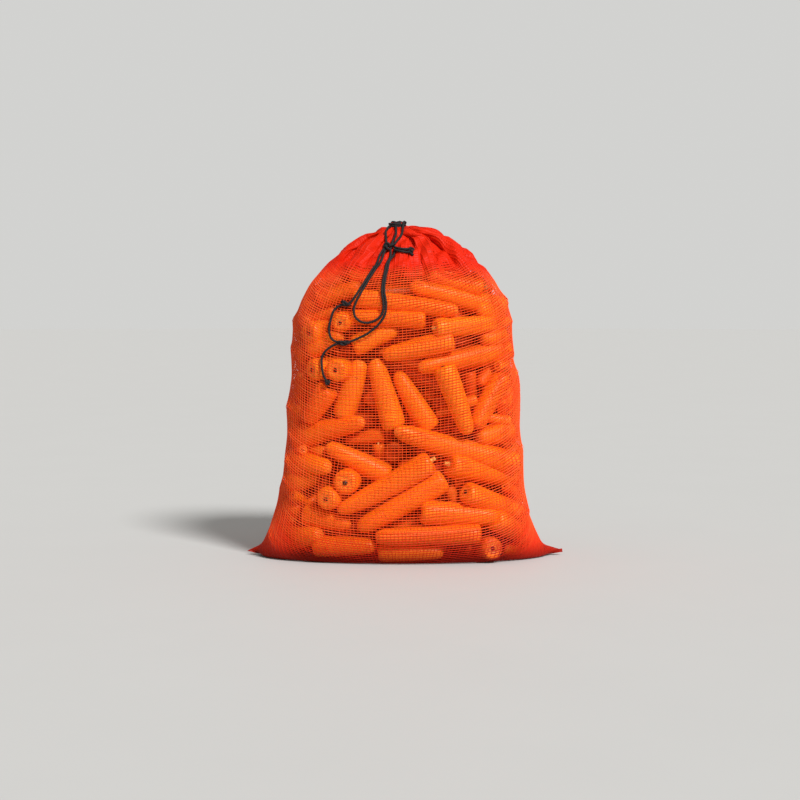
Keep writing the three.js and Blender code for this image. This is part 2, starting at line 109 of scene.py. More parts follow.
# A carrot's outline: share of its radius, place along it in radii from the crown, then in shares of its length.
CROWN_OUTLINE = [(0.19, 0.08), (0.28, 0.09), (0.42, 0.04), (0.62, 0.0), (0.81, 0.06), (0.93, 0.2), (0.985, 0.4)]
BODY_OUTLINE = [
    (1.0, 0.13), (0.985, 0.25), (0.945, 0.4), (0.885, 0.55), (0.81, 0.7), (0.75, 0.8), (0.68, 0.88),
    (0.59, 0.93), (0.47, 0.965), (0.32, 0.985), (0.18, 0.996), (0.0, 1.0),
]
BODY_START = 0.13
TIP_STEPS = [0.925, 0.945, 0.962, 0.976, 0.987, 0.995]
# Balls that stand for the rim of a crown: place along the carrot, offset across it and size, in its radii.
RIM_BALLS = ((0.24, 0.76, 0.25), (0.62, 0.68, 0.34))

# The drawstring's routes on the front of the net, in millimetres: x and z.
SHORT_LOOP = [
    (-18.5, 379), (-23.5, 360), (-27, 343), (-28.5, 330), (-27, 319), (-26.5, 310), (-29, 302), (-36, 296),
    (-45, 293), (-53, 294), (-60, 299), (-62, 307), (-59, 318), (-48, 337), (-36, 356), (-22.5, 379),
]
LONG_LOOP = [
    (-25, 381), (-38, 358), (-50, 339), (-62, 321), (-67, 316), (-73, 314), (-80, 312), (-85, 307),
    (-88, 299), (-91, 289), (-91, 280), (-88, 273), (-82, 270), (-74, 269), (-65, 271), (-56, 275),
    (-46, 280), (-37, 287), (-30, 294), (-25, 302), (-23.5, 311), (-24, 320), (-26, 331), (-24.5, 344),
    (-21, 361), (-15.5, 380),
]
TAIL = [
    (-78, 268), (-84, 267), (-91, 263), (-97, 257), (-100, 250), (-100, 241), (-99, 234), (-97, 228),
    (-93, 222),
]
STUBS = [
    [(-16, 379), (-7, 378), (2, 376), (9, 373)],
    [(-16, 382), (-8, 381), (0, 379.5), (5, 377.5)],
]
STRAND_UP = [(-24, 383), (-25, 391), (-24, 399)]
STRAND_DOWN = [(-5, 399), (-7, 391), (-14, 384)]
STRAND_MIDDLE = [(-18, 382), (-16, 391), (-13, 399)]
# Short ends at the mouth: degrees round it, then how far each leans out and rises, in millimetres.
FRINGE = [(200, 3.5, 1.5), (238, 2.5, 3), (268, 3, 1), (300, 2, 3.5), (335, 4, 2), (20, 3, 3), (110, 3, 2.5)]
# Knots on the front, in millimetres: place, reach across, up and out, and how far the middle is off the net.
KNOTS = {
    "main": ((-20, 380), (6.5, 5, 2.2), 4.2),
    "stubs": ((2, 378), (3.2, 3, 1.2), 3),
    "loop": ((-74, 269), (7.5, 2.3, 1.6), 3.2),
    "hitch": ((-71, 315), (6, 2, 1.4), 3.2),
    "end": (TAIL[-1], (2.8, 2.4, 1.2), 3),
}
HITCH_LEAN = 0.35
# The cord's turns round the mouth: where they start and how far they go, in degrees.
MOUTH_START = 215
MOUTH_TURN = 970
# Distance between the rings of a cord's mesh.
CORD_STEP = 1.2 * MM


def length(name, value, about):
    """A property that holds a length in metres."""
    return FloatProperty(name=name, description=about, default=value, unit="LENGTH", precision=4)


def share(name, value, about):
    """A property that holds a plain number."""
    return FloatProperty(name=name, description=about, default=value, precision=3)


def colour(name, value, about):
    """A property that holds a colour."""
    return FloatVectorProperty(name=name, description=about, default=value, subtype="COLOR", min=0, max=1)


class SackSizes(bpy.types.PropertyGroup):
    seam_width: length("Seam width", 0.394, "Width of the bottom seam from ear to ear")
    half_width: length("Half width", 0.150, "Half the width of the body")
    taper: share("Taper", 0.04, "How much the half width shrinks with height")
    flare: length("Foot flare", 0.034, "How far the sides flare out at the floor")
    flare_height: length("Flare height", 0.060, "Height in which the flare dies away")
    half_depth: length("Half depth", 0.098, "Half the depth of the body")
    tuck: share("Foot tuck", 0.2, "Share of the depth that is tucked in at the floor")
    tuck_height: length("Tuck height", 0.014, "Height in which the tuck dies away")
    shoulder: length("Shoulder height", 0.285, "Height where the dome begins")
    dome: length("Dome height", 0.131, "Height of the dome over the shoulder")
    dome_curve: share("Dome curve", 1.6, "How late the dome turns in")
    dome_fullness: share("Dome fullness", 0.64, "How full the dome stays near its top")
    squareness: share("Squareness", 3.0, "Power of the body's section, two is round")
    pointing: share("Foot pointing", 1.2, "How much the section is drawn to points at the floor")
    pointing_height: length("Pointing height", 0.040, "Height in which the pointing dies away")
    body_shift: length("Body shift", -0.004, "Sideways shift of the body")
    mouth_x: length("Mouth across", -0.010, "Middle of the gathered mouth, across")
    mouth_y: length("Mouth back", -0.014, "Middle of the gathered mouth, to the back")
    mouth_height: length("Mouth height", 0.411, "Height of the cord round the mouth")
    mouth_radius: length("Mouth radius", 0.0078, "Radius of the gathered mouth under the cord")
    top: length("Top", 0.4150, "Height of the hem over the mouth")


class CarrotSizes(bpy.types.PropertyGroup):
    thin: length("Thinnest", 0.025, "Diameter of the thinnest carrots round the sides")
    thick: length("Thickest", 0.031, "Diameter of the thickest carrots round the sides")
    longest: length("Longest", 0.155, "Length of the longest carrots round the sides")
    shortest: length("Shortest", 0.084, "Length of the shortest carrots round the sides")
    bend: share("Bend", 0.03, "Bow of a carrot as a share of its length")
    sides: IntProperty(name="Sides", description="Faces round a carrot", default=24, min=8)
    deep_orange: colour("Deep orange", (0.91, 0.135, 0.002), "Skin of the darker carrots")
    light_orange: colour("Light orange", (0.99, 0.265, 0.006), "Skin of the lighter carrots")
    heart: colour("Heart", (0.05, 0.018, 0.006), "Cut stem in the crown")
    crown: colour("Crown", (1.0, 0.36, 0.05), "Paler skin round the stem")
    stem: colour("Stem", (0.82, 0.50, 0.12), "Stem stubs that are still fresh")
    tip: colour("Tip", (0.93, 0.32, 0.06), "Pale root tip")
    # Painted shade: carrots deep in the sack, and carrots low near the floor, are mixed towards this dark red
    # in place of real shadow.
    deep_inside: colour("Deep inside", (0.48, 0.014, 0.008), "Skin of carrots that lie deep in the sack")


class NetSizes(bpy.types.PropertyGroup):
    wales: IntProperty(name="Wales", description="Upright threads round the net", default=176, min=24)
    courses: IntProperty(name="Courses", description="Level threads from seam to hem", default=172, min=24)
    course_width: length("Course width", 0.00094, "Width of a level thread")
    wale_width: length("Wale width", 0.00045, "Width of an upright thread")
    thread_height: length("Thread height", 0.00040, "Thickness of a thread")
    clearance: length("Clearance", 0.0009, "Gap between the carrots and the threads' middle")
    slack: length("Slack", 0.024, "How far the net may dip between carrots on front and back")
    side_slack: length("Side slack", 0.007, "How far the net may dip between carrots on the sides")
    pleats: IntProperty(name="Pleats", description="Folds that run to the mouth", default=11, min=3)
    pleat_depth: share("Pleat depth", 0.13, "Depth of the folds as a share of the radius")
    fold_depth: length("Fold depth", 0.0045, "How far the net folds over itself beside each pleat")
    thread: colour("Thread", (0.82, 0.048, 0.007), "Colour of the threads")
    thread_light: colour("Light thread", (0.92, 0.118, 0.024), "Colour of the lighter threads")
    # Deeper red of net in folds at the mouth; near the floor the same colour is painted shade.
    gathered: colour("Gathered thread", (0.61, 0.012, 0.001),
                     "Colour of the threads where the net lies in folds")
    # Painted shade: the threads near the floor are mixed towards this dark red.
    foot: colour("Foot", (0.20, 0.006, 0.002), "Colour of the threads that have stood on the floor")


class CordSizes(bpy.types.PropertyGroup):
    diameter: length("Diameter", 0.003, "Thickness of the drawstring")
    lay: length("Lay", 0.009, "Length of one full twist of the strands")
    strands: IntProperty(name="Strands", description="Strands twisted together", default=3, min=2)
    black: colour("Black", FINISH["cord"], "Colour of the fibres")
    worn: colour("Worn", (0.03, 0.024, 0.022), "Colour of fibres that are rubbed grey")


class StageSizes(bpy.types.PropertyGroup):
    distance: length("Camera distance", 2.2, "Distance from the camera to the sack")
    rise: FloatProperty(name="Camera rise", description="Angle of the camera above the horizon",
                        default=math.radians(3.5), subtype="ANGLE")
    field: length("Field", 1.0, "Width that the image takes in at the sack")
    floor: colour("Floor", (0.55, 0.545, 0.53), "Colour of the floor")


GROUPS = {"sack": SackSizes, "carrots": CarrotSizes, "net": NetSizes, "cord": CordSizes, "stage": StageSizes}


def settings(key):
    """The values of a property group, as typed in, in a form that a cache can hold."""
    group = getattr(bpy.context.scene, PREFIX + key)
    values = {}
    for name in GROUPS[key].__annotations__:
        value = getattr(group, name)
        if isinstance(value, float):
            value = round(value, 6)
        elif not isinstance(value, int):
            value = tuple(value)
        values[name] = value
    return namedtuple(key, values)(**values)


def seeded_numbers(seed, count):
    """Even numbers from 0 to 1 that are the same on every run."""
    numbers = np.empty(count)
    state = seed
    for i in range(count):
        state = state * 16807 % 2147483647
        numbers[i] = state / 2147483647
    return numbers


def drawn_from(use, number=0):
    """Random draws for one use, the same on every run."""
    return np.random.default_rng(SEEDS[use] + number)


def between(low, high, t):
    return low + (high - low) * t


def smooth_step(low, high, value):
    t = np.clip((value - low) / (high - low), 0, 1)
    return t * t * (3 - 2 * t)


def unit(vectors):
    return vectors / np.maximum(np.linalg.norm(vectors, axis=-1, keepdims=True), 1e-12)


def outward(angle):
    """Level ways out of the sack at angles round it."""
    return np.stack([np.cos(angle), np.sin(angle), 0 * angle], axis=-1)


def run_along(line):
    """The length from a line's start to each of its points."""
    return np.concatenate([[0], np.cumsum(np.linalg.norm(np.diff(line, axis=0), axis=1))])


class SackShape:
    """The smooth form of the filled sack, without carrots, pleats or ears."""

    def __init__(self, size):
        self.size = size

    def dome_share(self, z):
        t = np.clip((z - self.size.shoulder) / self.size.dome, 0, 1)
        return (1 - t ** self.size.dome_curve) ** self.size.dome_fullness

    def half_width(self, z):
        low = np.minimum(z, self.size.shoulder)
        flare = self.size.flare * np.exp(-low / self.size.flare_height)
        return (self.size.half_width - self.size.taper * low + flare) * self.dome_share(z)

    def half_depth(self, z):
        tuck = self.size.tuck * np.exp(-np.maximum(z, 0) / self.size.tuck_height)
        return self.size.half_depth * (1 - tuck) * self.dome_share(z)

    def shift(self, z):
        return self.size.body_shift * (1 - smooth_step(0.3, 0.4, z))

    def power(self, z):
        return self.size.squareness - self.size.pointing * np.exp(-np.maximum(z, 0) / self.size.pointing_height)

    def section(self, z, inset):
        """The power, half width and half depth of the level section at a height."""
        half_width = np.maximum(self.half_width(z) - inset, MM)
        half_depth = np.maximum(self.half_depth(z) - inset, MM)
        return self.power(z), half_width, half_depth

    def radius(self, angle, z, inset):
        n, a, b = self.section(z, inset)
        return ((np.abs(np.cos(angle)) / a) ** n + (np.abs(np.sin(angle)) / b) ** n) ** (-1 / n)

    def point(self, angle, z, inset):
        r = self.radius(angle, z, inset)
        return np.stack([self.shift(z) + r * np.cos(angle), r * np.sin(angle), z + 0 * r], axis=-1)

    def front(self, x, z, inset):
        n, a, b = self.section(z, inset)
        part = np.clip((x - self.shift(z)) / a, -0.98, 0.98)
        return np.stack([self.shift(z) + part * a, -b * (1 - np.abs(part) ** n) ** (1 / n), z + 0 * a], axis=-1)

    def behind_front(self, p):
        """How far points lie behind the front; those round the sides and in the dome count as far."""
        x, y, z = np.moveaxis(p, -1, 0)
        n = self.power(z)
        part = np.abs(x - self.shift(z)) / np.maximum(self.half_width(z), MM)
        depth = self.half_depth(z) * (1 - np.minimum(part, 1) ** n) ** (1 / n) + y
        far = 0.2
        return depth + far * (smooth_step(0.8, 0.9, part) + smooth_step(0.345, 0.36, z))

    def outside(self, p, inset):
        """How far points lie outside the form, level from its middle, with the form shrunk by an inset."""
        x, y, z = np.moveaxis(p, -1, 0)
        x = x - self.shift(z)
        return np.hypot(x, y) - self.radius(np.arctan2(y, x), z, inset)


Heap = namedtuple("Heap", "crown tip diameter")


def joined(*heaps):
    return Heap(*(np.concatenate(parts) for parts in zip(*heaps)))


def front_heap(shape):
    """The carrots that the front shows."""
    crown_x, crown_z, tip_x, tip_z, diameter, crown_depth, tip_depth = np.array(FRONT_CARROTS, float).T * MM
    diameter = FRONT_GROWTH * diameter
    facing = tip_depth > FACING_DEPTH
    crown = shape.front(crown_x, crown_z, np.where(facing, 2 * MM, diameter / 2) + crown_depth)
    tip = shape.front(tip_x, tip_z, np.where(facing, 2 * MM, 0.4 * diameter) + tip_depth)
    middle = (crown + tip) / 2
    angle = np.arctan2(middle[:, 1], middle[:, 0] - shape.shift(middle[:, 2]))
    ease = np.where(facing, 0, 0.45 * np.maximum(-shape.outside(middle, diameter / 2), 0))
    out = ease[:, None] * outward(angle)
    return Heap(crown + out, tip + out, diameter)


def laid(shape, angle, z, tilt, size, diameter, depth):
    """Carrots laid along the form, each sunk until its ends are hardly outside."""
    inset = diameter / 2 + depth
    middle = shape.point(angle, z, inset)
    level = unit(shape.point(angle + 0.02, z, inset) - shape.point(angle - 0.02, z, inset))
    up = np.array([0.0, 0.0, 1.0])
    half = (level * np.cos(tilt)[:, None] + up * np.sin(tilt)[:, None]) * (size / 2)[:, None]
    crown, tip = middle - half, middle + half
    excess = np.maximum(np.maximum(shape.outside(crown, inset), shape.outside(tip, inset)), 0)
    inward = -0.9 * excess[:, None] * outward(angle)
    return Heap(crown + inward, tip + inward, diameter)


def nearest_on(points, heap):
    """For each point and each carrot, the nearest point of the carrot's axis and its share along it."""
    axis = heap.tip - heap.crown
    away = points[..., None, :] - heap.crown
    t = np.clip((away * axis).sum(-1) / (axis * axis).sum(-1), 0, 1)
    return heap.crown + t[..., None] * axis, t


def add_with_room(heap, candidates, room):
    """Takes candidates one by one and keeps those that find room between the carrots already there."""
    steps = np.linspace(0, 1, 9)[:, None]
    for crown, tip, diameter in zip(*candidates):
        points = crown + (tip - crown) * steps
        near, _ = nearest_on(points, heap)
        gap = np.linalg.norm(points[:, None] - near, axis=-1).min(0)
        if np.all(gap > room * (diameter + heap.diameter) / 2):
            heap = joined(heap, Heap(crown[None], tip[None], np.array([diameter])))
    return heap


def round_heap(shape, crop, heap):
    """Adds carrots round the sides and the back, in two layers and then in the gaps that are left."""
    draws = 6000
    sizes = (crop.longest, crop.shortest)
    layers = [(2 * MM, 0.8, sizes), (16 * MM, 0.7, sizes), (3 * MM, 0.74, (105 * MM, 56 * MM))]
    numbers = seeded_numbers(SEEDS["round"], len(layers) * draws * 5).reshape(-1, draws, 5)
    for (depth, room, (longest, shortest)), drawn in zip(layers, numbers):
        degrees = between(-40, 220, drawn[:, 0])
        z = between(14 * MM, 322 * MM, drawn[:, 1])
        side = np.abs(np.cos(np.radians(degrees))) ** 4
        lean = between(-42, 42, drawn[:, 2])
        tilt = lean + side * 38 * np.sign(lean) + np.where(drawn[:, 4] < 0.5, 0, 180)
        size = between(longest, shortest, np.arange(draws) / draws)
        diameter = between(crop.thin, crop.thick, drawn[:, 3])
        under = depth - 9 * MM * side
        carrots = laid(shape, np.radians(degrees), z, np.radians(tilt), size, diameter, under)
        inset = diameter / 2 + under
        low = np.minimum(carrots.crown[:, 2], carrots.tip[:, 2])
        high = np.maximum(carrots.crown[:, 2], carrots.tip[:, 2])
        out = np.maximum(shape.outside(carrots.crown, inset), shape.outside(carrots.tip, inset))
        fits = (low > diameter / 2 + 0.5 * MM) & (high < 336 * MM) & (out < 4 * MM)
        heap = add_with_room(heap, Heap(*(part[fits] for part in carrots)), room)
    return heap


def gap_to(points, heap):
    """How far each point is from the skin of the nearest carrot."""
    near, _ = nearest_on(points, heap)
    return (np.linalg.norm(points[:, None] - near, axis=-1) - heap.diameter / 2).min(1)


def carrot_through(shape, heap, spot, diameter, room, rng):
    """A carrot through a spot, lying the way that has most room, with its length in steps."""
    most = 17
    tries = 36
    marks = np.arange(-most, most + 1)
    ways = unit(rng.normal(size=(tries, 3)) * (1.0, 0.8, 0.6))
    points = (spot + ways[:, None] * marks[:, None] * FILL_STEP).reshape(-1, 3)
    z = points[:, 2]
    under = diameter / 2 + 0.5 * MM + 12 * MM * smooth_step(0.325, 0.355, z)
    held = (shape.outside(points, under) < 0) & (z < FILL_TOP) & (z > diameter / 2 + 1.5 * MM)
    held &= shape.behind_front(points) > 24 * MM + diameter / 2
    near, _ = nearest_on(points, heap)
    spare = np.linalg.norm(points[:, None] - near, axis=-1) - room * (diameter + heap.diameter) / 2
    free = (held & (spare.min(1) > 0)).reshape(len(ways), -1)
    ahead = np.cumprod(free[:, most:], axis=1).sum(1)
    behind = np.cumprod(free[:, most::-1], axis=1).sum(1)
    best = (ahead + behind).argmax()
    ends = spot + ways[best] * FILL_STEP * np.array([[1 - behind[best]], [ahead[best] - 1]])
    if rng.random() < 0.5:
        ends = ends[::-1]
    return Heap(ends[:1], ends[1:], np.array([diameter])), ahead[best] + behind[best]


def fill_heap(shape, crop, heap):
    """Adds a carrot in the widest gap, lying where it finds most room, until the gaps are small."""
    rng = drawn_from("fill")
    for room, least_gap, thinnest, fewest, inset in FILL_ROUNDS:
        spots = rng.uniform((-0.185, -0.095, 9 * MM), (0.185, 0.095, 0.38), (26000, 3))
        spots = spots[(shape.outside(spots, inset) < 0) & (shape.behind_front(spots) > 30 * MM)]
        gaps = gap_to(spots, heap)
        for _ in range(400):
            widest = gaps.argmax()
            if gaps[widest] < least_gap:
                break
            spot = spots[widest]
            thickest = between(crop.thin, crop.thick, rng.random())
            diameter = np.clip(2.5 * gaps[widest], thinnest * crop.thin, thickest)
            added, steps = carrot_through(shape, heap, spot, diameter, room, rng)
            if steps < fewest:
                gaps[np.linalg.norm(spots - spot, axis=1) < 4 * MM] = 0
                continue
            heap = joined(heap, added)
            gaps = np.minimum(gaps, gap_to(spots, added))
    return heap


def sight_gap(spots, ways, heap):
    """How far lines of sight through spots pass from the skin of the nearest carrot."""
    trim = 0.4 * heap.diameter[:, None] * unit(heap.tip - heap.crown)
    crown, tip = (p - (ways @ p.T)[..., None] * ways[:, None] for p in (heap.crown + trim, heap.tip - trim))
    flat = spots - (spots * ways).sum(1, keepdims=True) * ways
    near, t = nearest_on(flat, Heap(crown, tip, heap.diameter))
    return (np.linalg.norm(flat[:, None] - near, axis=-1) - 0.5 * heap.diameter * (1 - 0.25 * t)).min(1)


def close_sights(shape, crop, heap):
    """Adds small carrots where one could still look straight through the sack from a few metres away."""
    rng = drawn_from("sights")
    least, fewest = -1 * MM, 6
    reach = np.arange(-126, 127, 9)[:, None] * MM
    for turn in np.radians(np.arange(0, 180, 15)):
        step, height = (4, FRONT_EYE_HEIGHT) if turn == 0 else (7, EYE_HEIGHT)
        u, z = np.meshgrid(np.arange(-168, 169, step) * MM, np.arange(9, 358, step) * MM)
        eye = np.array([EYE_DISTANCE * math.sin(turn), -EYE_DISTANCE * math.cos(turn), height])
        rays = np.stack([u * math.cos(turn), u * math.sin(turn), z], axis=-1).reshape(-1, 3)
        ways = unit(rays - eye)
        seen = sight_gap(rays, ways, heap) > least
        spots = (rays[seen, None] + reach * ways[seen, None]).reshape(-1, 3)
        ways = np.repeat(ways[seen], len(reach), axis=0)
        inner = (shape.outside(spots, 13 * MM) < 0) & (spots[:, 2] > 9 * MM) & (spots[:, 2] < 0.352)
        inner &= shape.behind_front(spots) > 32 * MM
        spots, ways = spots[inner], ways[inner]
        gaps = gap_to(spots, heap)
        while len(spots) and gaps.max() > 1 * MM:
            widest = gaps.argmax()
            diameter = np.clip(2.3 * gaps[widest], 0.55 * crop.thin, crop.thin)
            added, steps = carrot_through(shape, heap, spots[widest], diameter, 0.55, rng)
            keep = np.linalg.norm(spots - spots[widest], axis=1) > 3 * MM
            if steps >= fewest:
                heap = joined(heap, added)
                keep &= sight_gap(spots, ways, added) > least
                gaps = np.minimum(gaps, gap_to(spots, added))
            spots, ways, gaps = spots[keep], ways[keep], gaps[keep]
    return heap


def eased_apart(shape, heap, front_count):
    """Moves carrots that pass through each other apart: front ones straight back, the others any way inside."""
    crown, tip, diameter = (part.copy() for part in heap)
    count = len(diameter)
    steps = np.linspace(0.03, 0.97, 13)
    slimming = 0.22
    snug, snug_front = 0.92, 0.76
    front = np.arange(count) < front_count
    start_y = crown[:, 1].copy()
    facing = front & (np.abs((tip - crown)[:, 1]) > 0.6 * np.linalg.norm(tip - crown, axis=1))
    for _ in range(60):
        now = Heap(crown, tip, diameter)
        points = crown[:, None] + (tip - crown)[:, None] * steps[:, None]
        near, t = nearest_on(points, now)
        away = points[:, :, None] - near
        gap = np.linalg.norm(away, axis=-1)
        reach = 0.5 * diameter[:, None, None] * (1 - slimming * steps[None, :, None])
        reach = reach + 0.5 * diameter * (1 - slimming * t)
        overlap = between(snug, snug_front, front[:, None, None] & front) * reach - gap
        overlap[np.arange(count), :, np.arange(count)] = -1
        best = overlap.argmax(1)
        rows, others = np.indices(best.shape)
        deep = overlap[rows, best, others]
        push = away[rows, best, others]
        move = np.zeros_like(crown)
        for i, j in zip(*np.nonzero(deep > 0.3 * MM)):
            if front[i] and front[j]:
                if push[i, j, 1] > 0 and not facing[i] and not facing[j]:
                    sideways = math.hypot(push[i, j, 0], push[i, j, 2])
                    wanted = math.sqrt(max((gap[i, best[i, j], j] + deep[i, j]) ** 2 - sideways ** 2, 0))
                    move[i, 1] = max(move[i, 1], 0.4 * (wanted - push[i, j, 1]))
            elif not front[i]:
                move[i] += unit(push[i, j]) * deep[i, j] * (0.5 if front[j] else 0.25)
        crown += move
        tip += move
        sunk = np.clip(crown[:, 1] - start_y - 9 * MM, 0, None) * front
        crown[:, 1] -= sunk
        tip[:, 1] -= sunk
        for end in (crown, tip):
            proud = between(2 * MM, -2 * MM, smooth_step(0.28, 0.31, end[:, 2]))
            over = np.where(front, 0, np.maximum(shape.outside(end, diameter / 2 - proud), 0))
            back = unit(end * (1.0, 1.0, 0.0)) * over[:, None]
            crown -= back
            tip -= back
        low = np.minimum(crown[:, 2], tip[:, 2]) - diameter / 2 - 1.5 * MM
        lift = np.where(front, 0, np.maximum(-low, 0))
        crown[:, 2] += lift
        tip[:, 2] += lift
    return Heap(crown, tip, diameter)


@lru_cache(maxsize=2)
def heap_of_carrots(size, crop):
    """All the carrots: how many are on the front, on the front and round the sides, and the heap itself."""
    shape = SackShape(size)
    front = front_heap(shape)
    outer = round_heap(shape, crop, front)
    heap = fill_heap(shape, crop, eased_apart(shape, outer, len(front.diameter)))
    heap = close_sights(shape, crop, heap)
    return len(front.diameter), len(outer.diameter), heap


@lru_cache(maxsize=2)
def carrot_bows(size, crop):
    """The bow of each carrot: where its middle lies off its straight axis."""
    _, _, heap = heap_of_carrots(size, crop)
    rng = drawn_from("bows")
    axis = heap.tip - heap.crown
    across = np.cross(axis, rng.normal(size=axis.shape))
    return unit(across) * (np.linalg.norm(axis, axis=1) * crop.bend * rng.uniform(0, 1, len(axis)))[:, None]


def axis_points(crown, tip, bow, t):
    """Points along a carrot's bowed axis."""
    t = np.asarray(t)[:, None]
    return crown + (tip - crown) * t + bow * 4 * t * (1 - t)


def body_share(t, number):
    """Share of a carrot's radius at a share of its length; some carrots taper more than others."""
    shares, places = np.array(BODY_OUTLINE).T
    return np.interp(t, places, shares) ** drawn_from("taper", number).uniform(0.55, 1.15)


def from_bmesh(name, bm, places):
    """A mesh of one form repeated: places holds the vertices of each repeat, in the form's order."""
    bm.faces.ensure_lookup_table()
    faces = [[v.index for v in face.verts] for face in bm.faces]
    bm.free()
    copies, size = places.shape[:2]
    every = [[corner + copy * size for corner in face] for copy in range(copies) for face in faces]
    mesh = bpy.data.meshes.new(name)
    mesh.from_pydata(places.reshape(-1, 3).tolist(), [], every)
    return mesh


def add_piece(name, mesh, material, node, smooth=True):
    """Puts a finished mesh in the scene as a piece that stands for a solid of the part."""
    mesh.materials.append(material)
    mesh.polygons.foreach_set("use_smooth", np.full(len(mesh.polygons), smooth))
    mesh.update()
    piece = bpy.data.objects.new(name, mesh)
    bpy.context.scene.collection.objects.link(piece)
    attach(piece, "root")
    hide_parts(node)
    return piece


def set_attributes(mesh, stores):
    """Stores values, or vectors where a list has rows of three, for each vertex of a mesh."""
    for name, values in stores.items():
        kind, key = ("FLOAT_VECTOR", "vector") if values.ndim == 2 else ("FLOAT", "value")
        layer = mesh.attributes.new(name, kind, "POINT")
        layer.data.foreach_set(key, np.ascontiguousarray(values, np.float32).ravel())


def numbered(bm):
    """The places of a bmesh's vertices, which are numbered in that order."""
    bm.verts.index_update()
    return np.array([v.co for v in bm.verts])


def rod_form(sides, steps):
    """A capped rod; gives it with the step and the side of each vertex."""
    bm = bmesh.new()
    bmesh.ops.create_cone(bm, cap_ends=True, segments=sides, radius1=1, radius2=1, depth=1)
    upright = [e for e in bm.edges if abs(e.verts[0].co.z - e.verts[1].co.z) > 0.5]
    bmesh.ops.subdivide_edges(bm, edges=upright, cuts=steps - 2, use_grid_fill=True)
    bmesh.ops.recalc_face_normals(bm, faces=bm.faces)
    co = numbered(bm)
    step = np.rint((co[:, 2] + 0.5) * (steps - 1)).astype(int)
    turn = np.arctan2(co[:, 1], co[:, 0]) / (2 * math.pi) * sides
    side = np.rint(turn - turn[0]).astype(int) % sides
    return bm, step, side


def ring_form(sides, steps):
    """A closed ring about +Z; gives it with the step and the side of each vertex."""
    bm = bmesh.new()
    upright = Matrix.Translation((1, 0, 0)) @ Matrix.Rotation(math.pi / 2, 4, "X")
    bmesh.ops.create_circle(bm, segments=sides, radius=0.2, matrix=upright)
    bmesh.ops.spin(bm, geom=bm.verts[:] + bm.edges[:], cent=(0, 0, 0), axis=(0, 0, 1),
                   angle=2 * math.pi, steps=steps, use_merge=True)
    bmesh.ops.recalc_face_normals(bm, faces=bm.faces)
    co = numbered(bm)
    step = np.rint(np.arctan2(co[:, 1], co[:, 0]) / (2 * math.pi) * steps).astype(int) % steps
    turn = np.arctan2(-co[:, 2], np.hypot(co[:, 0], co[:, 1]) - 1) / (2 * math.pi) * sides
    side = np.rint(turn - turn[0]).astype(int) % sides
    return bm, step, side


def carrot_form(sides, rings):
    """A closed spindle about +Z; gives it with the ring and the angle of each vertex."""
    bm = bmesh.new()
    chain = [bm.verts.new((0 if j in (0, rings - 1) else 1, 0, j)) for j in range(rings)]
    edges = [bm.edges.new(pair) for pair in zip(chain, chain[1:])]
    bmesh.ops.spin(bm, geom=chain + edges, cent=(0, 0, 0), axis=(0, 0, 1),
                   angle=2 * math.pi, steps=sides, use_merge=True)
    bmesh.ops.remove_doubles(bm, verts=bm.verts, dist=1e-4)
    bmesh.ops.recalc_face_normals(bm, faces=bm.faces)
    co = numbered(bm)
    return bm, np.rint(co[:, 2]).astype(int), np.arctan2(co[:, 1], co[:, 0])


def cross_ways(ways):
    """Two ways across each way of a line, carried along it without twisting."""
    across = np.empty_like(ways)
    first = np.cross(ways[0], [0.0, 0.0, 1.0])
    if np.linalg.norm(first) < 0.1:
        first = np.cross(ways[0], [1.0, 0.0, 0.0])
    across[0] = unit(first)
    for k in range(1, len(ways)):
        carried = across[k - 1] - ways[k] * np.dot(across[k - 1], ways[k])
        across[k] = unit(carried)
    return across, np.cross(ways, across)


